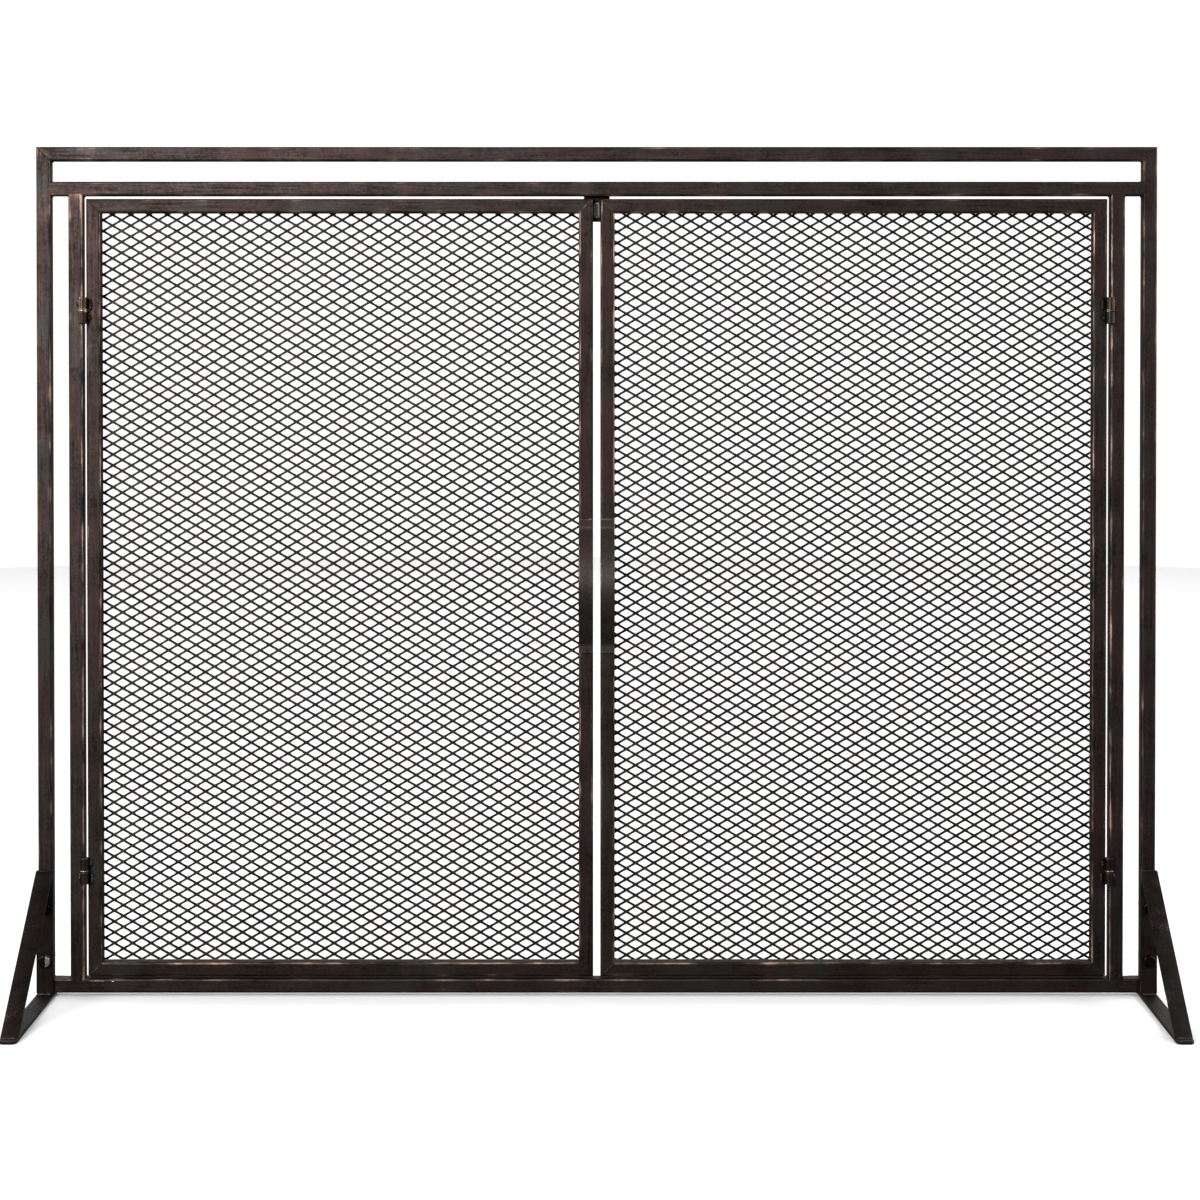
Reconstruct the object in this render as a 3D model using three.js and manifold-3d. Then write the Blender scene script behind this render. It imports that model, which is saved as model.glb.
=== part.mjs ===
// Free-standing fireplace screen: a flat frame of square steel tube on two triangular feet, with a pair of
// mesh doors that swing out on weld-on barrel hinges.
// Millimetres. X runs to the right, Y to the back and Z up. The origin is on the floor, in the middle of
// the footprint, and the doors face -Y.
import * as THREE from "three";
import { mergeVertices } from "three/addons/utils/BufferGeometryUtils.js";
import Module from "manifold-3d";

// Overall sizes of the tube frame, from the outside of one outer post to the other and from the floor up.
const SCREEN_WIDTH = 990;
const SCREEN_HEIGHT = 753;

// Square tube of the frame and of both doors.
const TUBE = 12.7;
const TUBE_WALL = 1.2;
const TUBE_CORNER = 1.8;

// Open strips inside the frame, and the clearances round the doors.
const TOP_SLOT = 18;
const SIDE_SLOT = 15.6;
const DOOR_GAP_SIDE = 3;
const DOOR_GAP_TOP = 2.5;
const DOOR_GAP_BOTTOM = 2;
const DOOR_GAP_MIDDLE = 6.4;

// Gap left between pieces that touch or are welded together.
const FIT = 0.3;

// Feet: flat bar on the floor, a plate up the front of the outer post, and a sloping strut. The bar reaches
// ahead of the posts and a shorter way behind them.
const BAR_WIDTH = 15;
const BAR_THICKNESS = 3;
const BAR_CORNER = 4.5;
const FOOT_AHEAD = 145;
const FOOT_BEHIND = 48.3;
const FOOT_HEIGHT = 113;
const STRUT_SETBACK = 7;
const FOOT_BOLT_HEIGHTS = { lower: 33, upper: 80 };

// Bolt and nut that fix a foot to its post.
const BOLT_DIAMETER = 6;
const BOLT_HEAD_FLATS = 10;
const BOLT_HEAD_HEIGHT = 4;
const BOLT_TAIL = 2;
const NUT_HEIGHT = 5;

// Weld-on barrel hinges.
const HINGE_DIAMETER = 7.5;
const HINGE_LENGTH = 23.6;
const HINGE_PIN = 3.6;
const HINGE_END_WALL = 1.5;
const HINGE_WASHER = 1.2;
const HINGE_TOWARDS_POST = 0.5;
const HINGE_WELD_REACH = 4;
const HINGE_WELD_DEPTH = 2.2;
const HINGE_WELD_INSET = 1.5;
const HINGE_BELOW_DOOR_TOP = 98.6;
const HINGE_ABOVE_DOOR_BOTTOM = 95;

// Bow handles on the meeting stiles.
const HANDLE_LENGTH = 118;
const HANDLE_THICKNESS = 2.4;
const HANDLE_PAD = 8;
const HANDLE_BOW = 23;
const HANDLE_ABOVE_MIDDLE = 2.5;

// Mesh panels, drawn as plain sheets whose thickness gives the weight of the open mesh.
const PANEL_THICKNESS = 0.5;
const PANEL_LAP = 3.5;

// Magnetic catch behind the tops of the meeting stiles.
const CATCH_WIDTH = 23;
const CATCH_DROP = 22;
const CATCH_CASE_DEPTH = 10;
const CATCH_CASE_CORNER = 1.5;
const BRACKET_THICKNESS = 1.5;
const BRACKET_LIP = 9;
const MAGNET_WIDTH = 5;
const MAGNET_LENGTH = 14;
const MAGNET_BELOW_CASE_TOP = 5;
const SCREW_DIAMETER = 3;
const SCREW_HEAD_DIAMETER = 6;
const SCREW_HEAD_HEIGHT = 2.2;
const SCREW_LENGTH = 8;
const SCREW_SPACING = 15;

// How finely the round shapes are divided.
const TUBE_CORNER_STEPS = 3;
const BAR_CORNER_STEPS = 6;
const SLOT_END_STEPS = 8;
const PIN_SIDES = 20;
const BARREL_SIDES = 24;
const BOW_STEPS = 28;

// Places that follow from the sizes above.
const HALF_TUBE = TUBE / 2;
const OUTER_POST_X = SCREEN_WIDTH / 2 - HALF_TUBE;
const INNER_POST_X = OUTER_POST_X - TUBE - SIDE_SLOT;
const DOORWAY_HALF = INNER_POST_X - HALF_TUBE;
const FOOT_LENGTH = FOOT_AHEAD + TUBE + FOOT_BEHIND;
const FRAME_FRONT = -FOOT_LENGTH / 2 + FOOT_AHEAD;
const FRAME_Y = FRAME_FRONT + HALF_TUBE;
const FRAME_BACK = FRAME_FRONT + TUBE;
const FRAME_BOTTOM = BAR_THICKNESS + FIT;
const TOP_RAIL_Z = SCREEN_HEIGHT - HALF_TUBE;
const SECOND_RAIL_Z = TOP_RAIL_Z - TUBE - TOP_SLOT;
const BOTTOM_RAIL_Z = FRAME_BOTTOM + HALF_TUBE;
const DOORWAY_TOP = SECOND_RAIL_Z - HALF_TUBE;
const DOORWAY_BOTTOM = BOTTOM_RAIL_Z + HALF_TUBE;
const DOOR_TOP = DOORWAY_TOP - DOOR_GAP_TOP;
const DOOR_BOTTOM = DOORWAY_BOTTOM + DOOR_GAP_BOTTOM;
const DOOR_HEIGHT = DOOR_TOP - DOOR_BOTTOM;
const DOOR_HINGE_SIDE = DOORWAY_HALF - DOOR_GAP_SIDE;
const DOOR_MEETING_SIDE = DOOR_GAP_MIDDLE / 2;
const DOOR_WIDTH = DOOR_HINGE_SIDE - DOOR_MEETING_SIDE;
const HINGE_AXIS_X = DOORWAY_HALF - DOOR_GAP_SIDE / 2 + HINGE_TOWARDS_POST;
const HINGE_AXIS_Y = FRAME_FRONT - FIT - HINGE_DIAMETER / 2;
const HINGE_HEIGHTS = {
  bottom: DOOR_BOTTOM + HINGE_ABOVE_DOOR_BOTTOM,
  top: DOOR_TOP - HINGE_BELOW_DOOR_TOP,
};
const HANDLE_Z = (DOOR_TOP + DOOR_BOTTOM) / 2 + HANDLE_ABOVE_MIDDLE;
const MITRE_BACK = (FIT / 2) * Math.SQRT2;
const SAME_POINT = 1e-4;

const wasm = await Module();
wasm.setup();

// A closed three.js geometry as a solid that can be joined and cut.
function solidFrom(geometry) {
  const bare = geometry.clone();
  bare.deleteAttribute("normal");
  bare.deleteAttribute("uv");
  const merged = mergeVertices(bare, SAME_POINT);
  return new wasm.Manifold(
    new wasm.Mesh({
      numProp: 3,
      vertProperties: new Float32Array(merged.attributes.position.array),
      triVerts: new Uint32Array(merged.index.array),
    }),
  );
}

// The solid turned back into a geometry with flat faces.
function geometryFrom(solid) {
  const mesh = solid.getMesh();
  const shared = new THREE.BufferGeometry();
  shared.setAttribute("position", new THREE.BufferAttribute(mesh.vertProperties, 3));
  shared.setIndex(new THREE.BufferAttribute(mesh.triVerts, 1));
  const flat = shared.toNonIndexed();
  flat.computeVertexNormals();
  return flat;
}

function joined(first, ...others) {
  return geometryFrom(others.reduce((solid, other) => solid.add(solidFrom(other)), solidFrom(first)));
}

function cut(body, ...tools) {
  return geometryFrom(tools.reduce((solid, tool) => solid.subtract(solidFrom(tool)), solidFrom(body)));
}

// A geometry drawn in local X and Y and extruded along Z is laid so that X, Y and Z become Y, Z and X.
const SIDE_PROFILE = new THREE.Matrix4().makeBasis(
  new THREE.Vector3(0, 1, 0),
  new THREE.Vector3(0, 0, 1),
  new THREE.Vector3(1, 0, 0),
);

// A profile of (y, z) points, extruded to a width along X and centred on x = 0.
function sideExtrusion(outline, width) {
  const geometry = new THREE.ExtrudeGeometry(new THREE.Shape(outline), {
    depth: width,
    bevelEnabled: false,
  });
  geometry.translate(0, 0, -width / 2);
  return geometry.applyMatrix4(SIDE_PROFILE);
}

// An outline of (x, z), extruded from y = 0 towards +Y.
function frontExtrusion(shape, depth, curveSegments) {
  const geometry = new THREE.ExtrudeGeometry(shape, { depth, bevelEnabled: false, curveSegments });
  geometry.rotateX(Math.PI / 2);
  return geometry.translate(0, depth, 0);
}

function roundedRectangle(width, height, radius) {
  const x = width / 2;
  const y = height / 2;
  const shape = new THREE.Shape();
  shape.moveTo(x, -y + radius);
  shape.lineTo(x, y - radius);
  shape.absarc(x - radius, y - radius, radius, 0, Math.PI / 2);
  shape.lineTo(-x + radius, y);
  shape.absarc(-x + radius, y - radius, radius, Math.PI / 2, Math.PI);
  shape.lineTo(-x, -y + radius);
  shape.absarc(-x + radius, -y + radius, radius, Math.PI, 1.5 * Math.PI);
  shape.lineTo(x - radius, -y);
  shape.absarc(x - radius, -y + radius, radius, 1.5 * Math.PI, 2 * Math.PI);
  return shape;
}

// A slot outline with round ends, centred on the origin, upright.
function slotOutline(width, length, Path) {
  const radius = width / 2;
  const reach = length / 2 - radius;
  const path = new Path();
  path.moveTo(radius, -reach);
  path.lineTo(radius, reach);
  path.absarc(0, reach, radius, 0, Math.PI);
  path.lineTo(-radius, -reach);
  path.absarc(0, -reach, radius, Math.PI, 2 * Math.PI);
  return path;
}

function circularHole(x, y, radius) {
  return new THREE.Path().absarc(x, y, radius, 0, 2 * Math.PI);
}

// A square tube along Z from 0 to length. Each end is cut square, or mitred by a slope over X.
function squareTube(length, startSlope = 0, endSlope = 0) {
  const section = roundedRectangle(TUBE, TUBE, TUBE_CORNER);
  const inside = TUBE - 2 * TUBE_WALL;
  const insideCorner = Math.max(TUBE_CORNER - TUBE_WALL, TUBE_WALL / 4);
  section.holes.push(new THREE.Path(roundedRectangle(inside, inside, insideCorner).getPoints(1)));
  const geometry = new THREE.ExtrudeGeometry(section, {
    depth: length,
    bevelEnabled: false,
    curveSegments: TUBE_CORNER_STEPS,
  });
  const position = geometry.attributes.position;
  for (let i = 0; i < position.count; i++) {
    const slope = position.getZ(i) < length / 2 ? startSlope : endSlope;
    position.setZ(i, position.getZ(i) + slope * position.getX(i));
  }
  geometry.computeVertexNormals();
  return geometry;
}

// The same tube laid along X.
function crosswiseTube(length, startSlope = 0, endSlope = 0) {
  return squareTube(length, startSlope, endSlope).rotateY(Math.PI / 2);
}

// A round bar along Y whose middle is at the given point.
function crossPin(radius, length, x, y, z) {
  return new THREE.CylinderGeometry(radius, radius, length, PIN_SIDES).translate(x, y, z);
}

const FINISHES = {
  tube: { color: 0x2f2925, roughness: 0.5, metalness: 0.6 },
  door: { color: 0x2a2522, roughness: 0.5, metalness: 0.6 },
  foot: { color: 0x2a2724, roughness: 0.5, metalness: 0.5 },
  mesh: { color: 0x1d1a18, roughness: 0.6, metalness: 0.5 },
  hinge: { color: 0x5b4336, roughness: 0.4, metalness: 0.8 },
  steel: { color: 0x6c6a66, roughness: 0.35, metalness: 0.9 },
  magnet: { color: 0x4b4c48, roughness: 0.45, metalness: 0.7 },
  plastic: { color: 0x141414, roughness: 0.6, metalness: 0 },
};

function addPiece(group, name, geometry, finish, x = 0, y = 0, z = 0) {
  const mesh = new THREE.Mesh(geometry, new THREE.MeshStandardMaterial(FINISHES[finish]));
  mesh.name = name;
  mesh.position.set(x, y, z);
  group.add(mesh);
  return mesh;
}

// Frame: mitred top corners, the rest cut square and butted.
function buildFrame() {
  const frame = new THREE.Group();
  frame.position.y = FRAME_Y;
  const postLength = TOP_RAIL_Z - FRAME_BOTTOM - MITRE_BACK;
  const boltHoles = Object.values(FOOT_BOLT_HEIGHTS).map((height) =>
    crossPin(BOLT_DIAMETER / 2 + FIT, 2 * TUBE, 0, 0, height - FRAME_BOTTOM),
  );
  const betweenPosts = 2 * (OUTER_POST_X - HALF_TUBE - FIT);
  const innerPostLength = DOORWAY_TOP - DOORWAY_BOTTOM - 2 * FIT;
  for (const [side, hand] of [["left", -1], ["right", 1]]) {
    const outerPost = cut(squareTube(postLength, 0, hand), ...boltHoles);
    addPiece(frame, `${side}_outer_post`, outerPost, "tube", hand * OUTER_POST_X, 0, FRAME_BOTTOM);
    const innerPost = squareTube(innerPostLength);
    addPiece(frame, `${side}_inner_post`, innerPost, "tube", hand * INNER_POST_X, 0, DOORWAY_BOTTOM + FIT);
  }
  const topLength = 2 * (OUTER_POST_X - MITRE_BACK);
  addPiece(frame, "top_rail", crosswiseTube(topLength, 1, -1), "tube", -topLength / 2, 0, TOP_RAIL_Z);
  for (const [name, height] of [["second_rail", SECOND_RAIL_Z], ["bottom_rail", BOTTOM_RAIL_Z]]) {
    addPiece(frame, name, crosswiseTube(betweenPosts), "tube", -betweenPosts / 2, 0, height);
  }
  return frame;
}

// Hexagon with flats at the given distance apart and its corners to the sides.
function hexagonPrism(flats, height) {
  return new THREE.CylinderGeometry(flats / Math.sqrt(3), flats / Math.sqrt(3), height, 6);
}

// One foot, centred on its outer post.
function buildFoot(side, hand) {
  const foot = new THREE.Group();
  foot.position.x = hand * OUTER_POST_X;
  const plateFront = FRAME_FRONT - FIT - BAR_THICKNESS;

  const base = new THREE.ExtrudeGeometry(roundedRectangle(BAR_WIDTH, FOOT_LENGTH, BAR_CORNER), {
    depth: BAR_THICKNESS,
    bevelEnabled: false,
    curveSegments: BAR_CORNER_STEPS,
  });
  addPiece(foot, `${side}_foot_base`, base, "foot");

  const plateHeight = FOOT_HEIGHT - FRAME_BOTTOM;
  const plate = roundedRectangle(BAR_WIDTH, plateHeight, BAR_THICKNESS / 2);
  for (const height of Object.values(FOOT_BOLT_HEIGHTS)) {
    const fromMiddle = height - FRAME_BOTTOM - plateHeight / 2;
    plate.holes.push(circularHole(0, fromMiddle, BOLT_DIAMETER / 2 + FIT));
  }
  const upright = frontExtrusion(plate, BAR_THICKNESS, SLOT_END_STEPS);
  addPiece(foot, `${side}_foot_upright`, upright, "foot", 0, plateFront, FRAME_BOTTOM + plateHeight / 2);

  // The strut leans from just behind the front end of the base to the top of the plate.
  const strutToe = -FOOT_LENGTH / 2 + STRUT_SETBACK;
  const strutTop = plateFront - FIT;
  const slope = Math.atan2(FOOT_HEIGHT - FRAME_BOTTOM, strutTop - strutToe);
  const strut = sideExtrusion(
    [
      new THREE.Vector2(strutToe, FRAME_BOTTOM),
      new THREE.Vector2(strutToe + BAR_THICKNESS / Math.sin(slope), FRAME_BOTTOM),
      new THREE.Vector2(strutTop, FOOT_HEIGHT - BAR_THICKNESS / Math.cos(slope)),
      new THREE.Vector2(strutTop, FOOT_HEIGHT),
    ],
    BAR_WIDTH,
  );
  addPiece(foot, `${side}_foot_strut`, strut, "foot");

  for (const [level, height] of Object.entries(FOOT_BOLT_HEIGHTS)) {
    const underHead = plateFront - FIT;
    const nutFront = FRAME_BACK + FIT;
    const tail = nutFront + NUT_HEIGHT + BOLT_TAIL;
    const shankLength = tail - underHead + BOLT_HEAD_HEIGHT / 2;
    const head = hexagonPrism(BOLT_HEAD_FLATS, BOLT_HEAD_HEIGHT);
    head.translate(0, underHead - BOLT_HEAD_HEIGHT / 2, 0);
    const shank = crossPin(BOLT_DIAMETER / 2, shankLength, 0, tail - shankLength / 2, 0);
    addPiece(foot, `${side}_foot_bolt_${level}`, joined(head, shank), "steel", 0, 0, height);
    const nut = cut(
      hexagonPrism(BOLT_HEAD_FLATS, NUT_HEIGHT),
      crossPin(BOLT_DIAMETER / 2 + FIT, 2 * NUT_HEIGHT, 0, 0, 0),
    );
    addPiece(foot, `${side}_foot_nut_${level}`, nut, "steel", 0, nutFront + NUT_HEIGHT / 2, height);
  }
  return foot;
}

// How far the strap stands off the stile, at a share of the way from its bottom end to its top end.
function handleBow(share) {
  const padShare = HANDLE_PAD / HANDLE_LENGTH;
  const along = THREE.MathUtils.clamp((share - padShare) / (1 - 2 * padShare), 0, 1);
  return HANDLE_BOW * Math.sin(Math.PI * along);
}

// A strap of even thickness that follows the bow, with its ends flat on the stile.
function handleStrap() {
  const stile = FRAME_FRONT - FIT;
  const nudge = 0.1 / BOW_STEPS;
  const back = [];
  const front = [];
  for (let i = 0; i <= BOW_STEPS; i++) {
    const share = i / BOW_STEPS;
    const z = (share - 0.5) * HANDLE_LENGTH;
    const rise = handleBow(share + nudge) - handleBow(share - nudge);
    const slope = rise / (2 * nudge * HANDLE_LENGTH);
    const stretch = Math.hypot(1, slope);
    const y = stile - handleBow(share);
    back.push(new THREE.Vector2(y, z));
    front.push(
      new THREE.Vector2(
        y - HANDLE_THICKNESS / stretch,
        z + (i > 0 && i < BOW_STEPS ? (-HANDLE_THICKNESS * slope) / stretch : 0),
      ),
    );
  }
  return sideExtrusion([...back, ...front.reverse()], TUBE);
}

// One door: four mitred tubes, the mesh panel welded to their backs, and the handle.
function buildDoor(side, hand) {
  const door = new THREE.Group();
  door.position.y = FRAME_Y;
  const stileLength = DOOR_HEIGHT - TUBE - 2 * MITRE_BACK;
  const stileBottom = DOOR_BOTTOM + HALF_TUBE + MITRE_BACK;
  const hingeStileX = hand * (DOOR_HINGE_SIDE - HALF_TUBE);
  const meetingStileX = hand * (DOOR_MEETING_SIDE + HALF_TUBE);
  const hingeStile = squareTube(stileLength, -hand, hand);
  const meetingStile = squareTube(stileLength, hand, -hand);
  addPiece(door, `${side}_door_hinge_stile`, hingeStile, "door", hingeStileX, 0, stileBottom);
  addPiece(door, `${side}_door_meeting_stile`, meetingStile, "door", meetingStileX, 0, stileBottom);

  const railLength = DOOR_WIDTH - TUBE - 2 * MITRE_BACK;
  const railStart = Math.min(hingeStileX, meetingStileX) + MITRE_BACK;
  const topRail = crosswiseTube(railLength, 1, -1);
  const bottomRail = crosswiseTube(railLength, -1, 1);
  addPiece(door, `${side}_door_top_rail`, topRail, "door", railStart, 0, DOOR_TOP - HALF_TUBE);
  addPiece(door, `${side}_door_bottom_rail`, bottomRail, "door", railStart, 0, DOOR_BOTTOM + HALF_TUBE);

  const panel = new THREE.BoxGeometry(
    DOOR_WIDTH - 2 * (TUBE - PANEL_LAP),
    PANEL_THICKNESS,
    DOOR_HEIGHT - 2 * (TUBE - PANEL_LAP),
  );
  const panelX = (hingeStileX + meetingStileX) / 2;
  const panelY = HALF_TUBE + FIT + PANEL_THICKNESS / 2;
  addPiece(door, `${side}_door_mesh`, panel, "mesh", panelX, panelY, DOOR_BOTTOM + DOOR_HEIGHT / 2);

  const handle = handleStrap().translate(0, -FRAME_Y, 0);
  addPiece(door, `${side}_door_handle`, handle, "door", meetingStileX, 0, HANDLE_Z);
  return door;
}

// One knuckle, with its open end at z = 0 and its closed end up. The weld pad lies against the tube that
// it is fixed to, out to x = reach from the pin.
function buildKnuckle(reach) {
  const length = HINGE_LENGTH / 2 - HINGE_WASHER / 2 - FIT;
  const radius = HINGE_DIAMETER / 2;
  const barrel = new THREE.CylinderGeometry(radius, radius, length, BARREL_SIDES);
  barrel.rotateX(Math.PI / 2).translate(0, 0, length / 2);
  const pad = new THREE.BoxGeometry(Math.abs(reach), HINGE_WELD_DEPTH, length - 2 * HINGE_WELD_INSET);
  pad.translate(reach / 2, radius - HINGE_WELD_DEPTH / 2, length / 2);
  const boreLength = 2 * (length - HINGE_END_WALL);
  const boreRadius = HINGE_PIN / 2 + FIT;
  const bore = new THREE.CylinderGeometry(boreRadius, boreRadius, boreLength, PIN_SIDES);
  bore.rotateX(Math.PI / 2);
  return cut(joined(barrel, pad), bore);
}

// The flat ring between the two knuckles.
function hingeWasher() {
  const inner = HINGE_PIN / 2 + FIT;
  const outer = HINGE_DIAMETER / 2;
  const half = HINGE_WASHER / 2;
  const profile = [
    new THREE.Vector2(inner, -half),
    new THREE.Vector2(outer, -half),
    new THREE.Vector2(outer, half),
    new THREE.Vector2(inner, half),
    new THREE.Vector2(inner, -half),
  ];
  return new THREE.LatheGeometry(profile, BARREL_SIDES).rotateX(Math.PI / 2);
}

// One hinge. The upper hinge has its post half on top and the lower hinge has its door half on top, so the
// door can't be lifted off.
function buildHinge(side, hand, level) {
  const hinge = new THREE.Group();
  hinge.position.set(hand * HINGE_AXIS_X, HINGE_AXIS_Y, HINGE_HEIGHTS[level]);
  const postReach = hand * (DOORWAY_HALF + HINGE_WELD_REACH - HINGE_AXIS_X);
  const doorReach = hand * (DOOR_HINGE_SIDE - HINGE_WELD_REACH - HINGE_AXIS_X);
  const postSign = level === "top" ? 1 : -1;
  for (const [half, reach, sign] of [["post", postReach, postSign], ["door", doorReach, -postSign]]) {
    // The lower knuckle is the same piece turned over about Y, which swaps its sides too.
    const knuckle = buildKnuckle(sign * reach);
    if (sign < 0) knuckle.rotateY(Math.PI);
    const start = sign * (HINGE_WASHER / 2 + FIT);
    addPiece(hinge, `${side}_${level}_hinge_${half}_knuckle`, knuckle, "hinge", 0, 0, start);
  }
  addPiece(hinge, `${side}_${level}_hinge_washer`, hingeWasher(), "steel");
  const pinLength = HINGE_LENGTH - 2 * (HINGE_END_WALL + FIT);
  const pin = new THREE.CylinderGeometry(HINGE_PIN / 2, HINGE_PIN / 2, pinLength, PIN_SIDES);
  addPiece(hinge, `${side}_${level}_hinge_pin`, pin.rotateX(Math.PI / 2), "steel");
  return hinge;
}

// Magnetic catch: a stepped bracket behind the second rail holds a small case with a bar magnet.
function buildCatch() {
  const group = new THREE.Group();
  group.position.set(0, FRAME_BACK + FIT, DOORWAY_TOP);
  const caseHeight = CATCH_DROP - FIT;
  const caseWidth = CATCH_WIDTH - 2 * FIT;
  const caseMiddle = -CATCH_DROP + caseHeight / 2;
  const plateFront = CATCH_CASE_DEPTH + FIT;
  const plateBack = plateFront + BRACKET_THICKNESS;

  // Stepped section: lip on the back of the rail, shelf over the case, plate down behind the case.
  const bracket = sideExtrusion(
    [
      new THREE.Vector2(0, 0),
      new THREE.Vector2(plateFront, 0),
      new THREE.Vector2(plateFront, -CATCH_DROP),
      new THREE.Vector2(plateBack, -CATCH_DROP),
      new THREE.Vector2(plateBack, BRACKET_THICKNESS),
      new THREE.Vector2(BRACKET_THICKNESS, BRACKET_THICKNESS),
      new THREE.Vector2(BRACKET_THICKNESS, BRACKET_LIP),
      new THREE.Vector2(0, BRACKET_LIP),
    ],
    CATCH_WIDTH,
  );
  const screws = [
    { side: "left", x: -SCREW_SPACING / 2 },
    { side: "right", x: SCREW_SPACING / 2 },
  ];
  const screwHoles = screws.map(({ x }) =>
    crossPin(SCREW_DIAMETER / 2 + FIT, 4 * BRACKET_THICKNESS, x, plateFront, caseMiddle),
  );
  addPiece(group, "catch_bracket", cut(bracket, ...screwHoles), "foot");

  const outline = roundedRectangle(caseWidth, caseHeight, CATCH_CASE_CORNER);
  const magnetMiddle = caseHeight / 2 - MAGNET_BELOW_CASE_TOP - MAGNET_LENGTH / 2 + FIT;
  const pocket = slotOutline(MAGNET_WIDTH + 2 * FIT, MAGNET_LENGTH + 2 * FIT, THREE.Path);
  outline.holes.push(new THREE.Path(pocket.getPoints(SLOT_END_STEPS).map((p) => p.setY(p.y + magnetMiddle))));
  for (const { x } of screws) outline.holes.push(circularHole(x, 0, SCREW_DIAMETER / 2 + FIT));
  const body = frontExtrusion(outline, CATCH_CASE_DEPTH, SLOT_END_STEPS);
  addPiece(group, "catch_case", body, "plastic", 0, 0, caseMiddle);

  const magnet = frontExtrusion(
    slotOutline(MAGNET_WIDTH, MAGNET_LENGTH, THREE.Shape),
    CATCH_CASE_DEPTH,
    SLOT_END_STEPS,
  );
  addPiece(group, "catch_magnet", magnet, "magnet", 0, 0, caseMiddle + magnetMiddle);

  // The screws come in from behind, through the plate and into the case.
  const underHead = plateBack + FIT;
  const shankLength = SCREW_LENGTH + SCREW_HEAD_HEIGHT / 2;
  const headMiddle = underHead + SCREW_HEAD_HEIGHT / 2;
  const shankMiddle = headMiddle - shankLength / 2;
  for (const { side, x } of screws) {
    const head = crossPin(SCREW_HEAD_DIAMETER / 2, SCREW_HEAD_HEIGHT, 0, headMiddle, 0);
    const shank = crossPin(SCREW_DIAMETER / 2, shankLength, 0, shankMiddle, 0);
    addPiece(group, `catch_screw_${side}`, joined(head, shank), "steel", x, 0, caseMiddle);
  }
  return group;
}

const screen = new THREE.Group();
screen.add(buildFrame());
for (const [side, hand] of [["left", -1], ["right", 1]]) {
  screen.add(buildFoot(side, hand));
  screen.add(buildDoor(side, hand));
  screen.add(buildHinge(side, hand, "top"));
  screen.add(buildHinge(side, hand, "bottom"));
}
screen.add(buildCatch());

export default screen;
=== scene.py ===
import math

import bmesh
import bpy
import numpy as np
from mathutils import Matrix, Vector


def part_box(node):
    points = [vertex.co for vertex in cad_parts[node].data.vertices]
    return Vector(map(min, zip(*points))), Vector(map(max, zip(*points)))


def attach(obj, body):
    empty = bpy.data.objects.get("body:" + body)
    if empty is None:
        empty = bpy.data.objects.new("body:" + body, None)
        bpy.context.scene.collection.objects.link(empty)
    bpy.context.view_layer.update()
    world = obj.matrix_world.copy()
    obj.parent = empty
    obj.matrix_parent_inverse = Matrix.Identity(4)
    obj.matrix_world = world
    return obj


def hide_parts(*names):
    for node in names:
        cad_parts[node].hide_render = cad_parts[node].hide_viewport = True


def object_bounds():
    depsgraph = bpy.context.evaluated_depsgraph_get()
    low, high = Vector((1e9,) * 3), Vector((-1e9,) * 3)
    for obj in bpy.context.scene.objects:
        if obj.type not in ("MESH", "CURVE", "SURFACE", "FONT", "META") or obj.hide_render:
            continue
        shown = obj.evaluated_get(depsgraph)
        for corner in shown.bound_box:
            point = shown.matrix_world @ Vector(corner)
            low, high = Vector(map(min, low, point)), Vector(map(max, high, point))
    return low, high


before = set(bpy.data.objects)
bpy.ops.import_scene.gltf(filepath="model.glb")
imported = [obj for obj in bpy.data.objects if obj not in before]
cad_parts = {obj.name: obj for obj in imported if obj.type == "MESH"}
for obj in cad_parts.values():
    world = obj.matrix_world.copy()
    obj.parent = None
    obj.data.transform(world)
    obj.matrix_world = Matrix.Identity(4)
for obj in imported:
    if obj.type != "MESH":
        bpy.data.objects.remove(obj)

cad_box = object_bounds()
MM = 0.001
SIDES = (("left", -1), ("right", 1))


# Frame tubes: half-inch square steel tube with drawn round corners. The outer posts and the top rail are
# mitred together and the other tubes are cut square; all are welded, ground flush, blackened and lacquered,
# then rubbed back to copper-brown along the corners and at the joints.
TUBE_CORNER = 1.8 * MM
ARC_STEPS = 4
# A round corner is worn through along its middle, and less by this towards the flats.
CORNER_FADE = 0.45
# Distance from the end of a corner's arc, and how worn the flat still is there.
FLAT_WEAR = ((0.5 * MM, 0.30), (1.4 * MM, 0.07))
# Distance from a sawn end, how far the ring there leans with the mitre, and how worn it is.
END_RINGS = (
    (0.0, 1.0, 0.75),
    (0.3 * MM, 1.0, 0.7),
    (1.2 * MM, 1.0, 0.5),
    (3.0 * MM, 1.0, 0.3),
    (7.0 * MM, 1.0, 0.16),
    (12.0 * MM, 0.6, 0.06),
    (18.0 * MM, 0.3, 0.0),
    (26.0 * MM, 0.0, 0.0),
)
RING_SPACING = 24 * MM
# How much of the end wear shows on an end that is cut square and ground flush.
SQUARE_END_WEAR = 0.3
FLUSH_REACH = 1.75 * MM
PATCH_REACH = 32 * MM
SMOOTH_ANGLE = math.radians(38)

PAINT_DARK = "14110f"
PAINT_LIGHT = "352c2a"
PAINT_RED = "2e2322"
PAINT_GREEN = "2a2a28"
RUB_COPPER = "665245"
# The brightest rubbed copper; on the most worn corners it also stands for a painted highlight.
RUB_BRIGHT_AND_HIGHLIGHT = "ae937c"
BRUSH_STRETCH = 0.022
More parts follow.
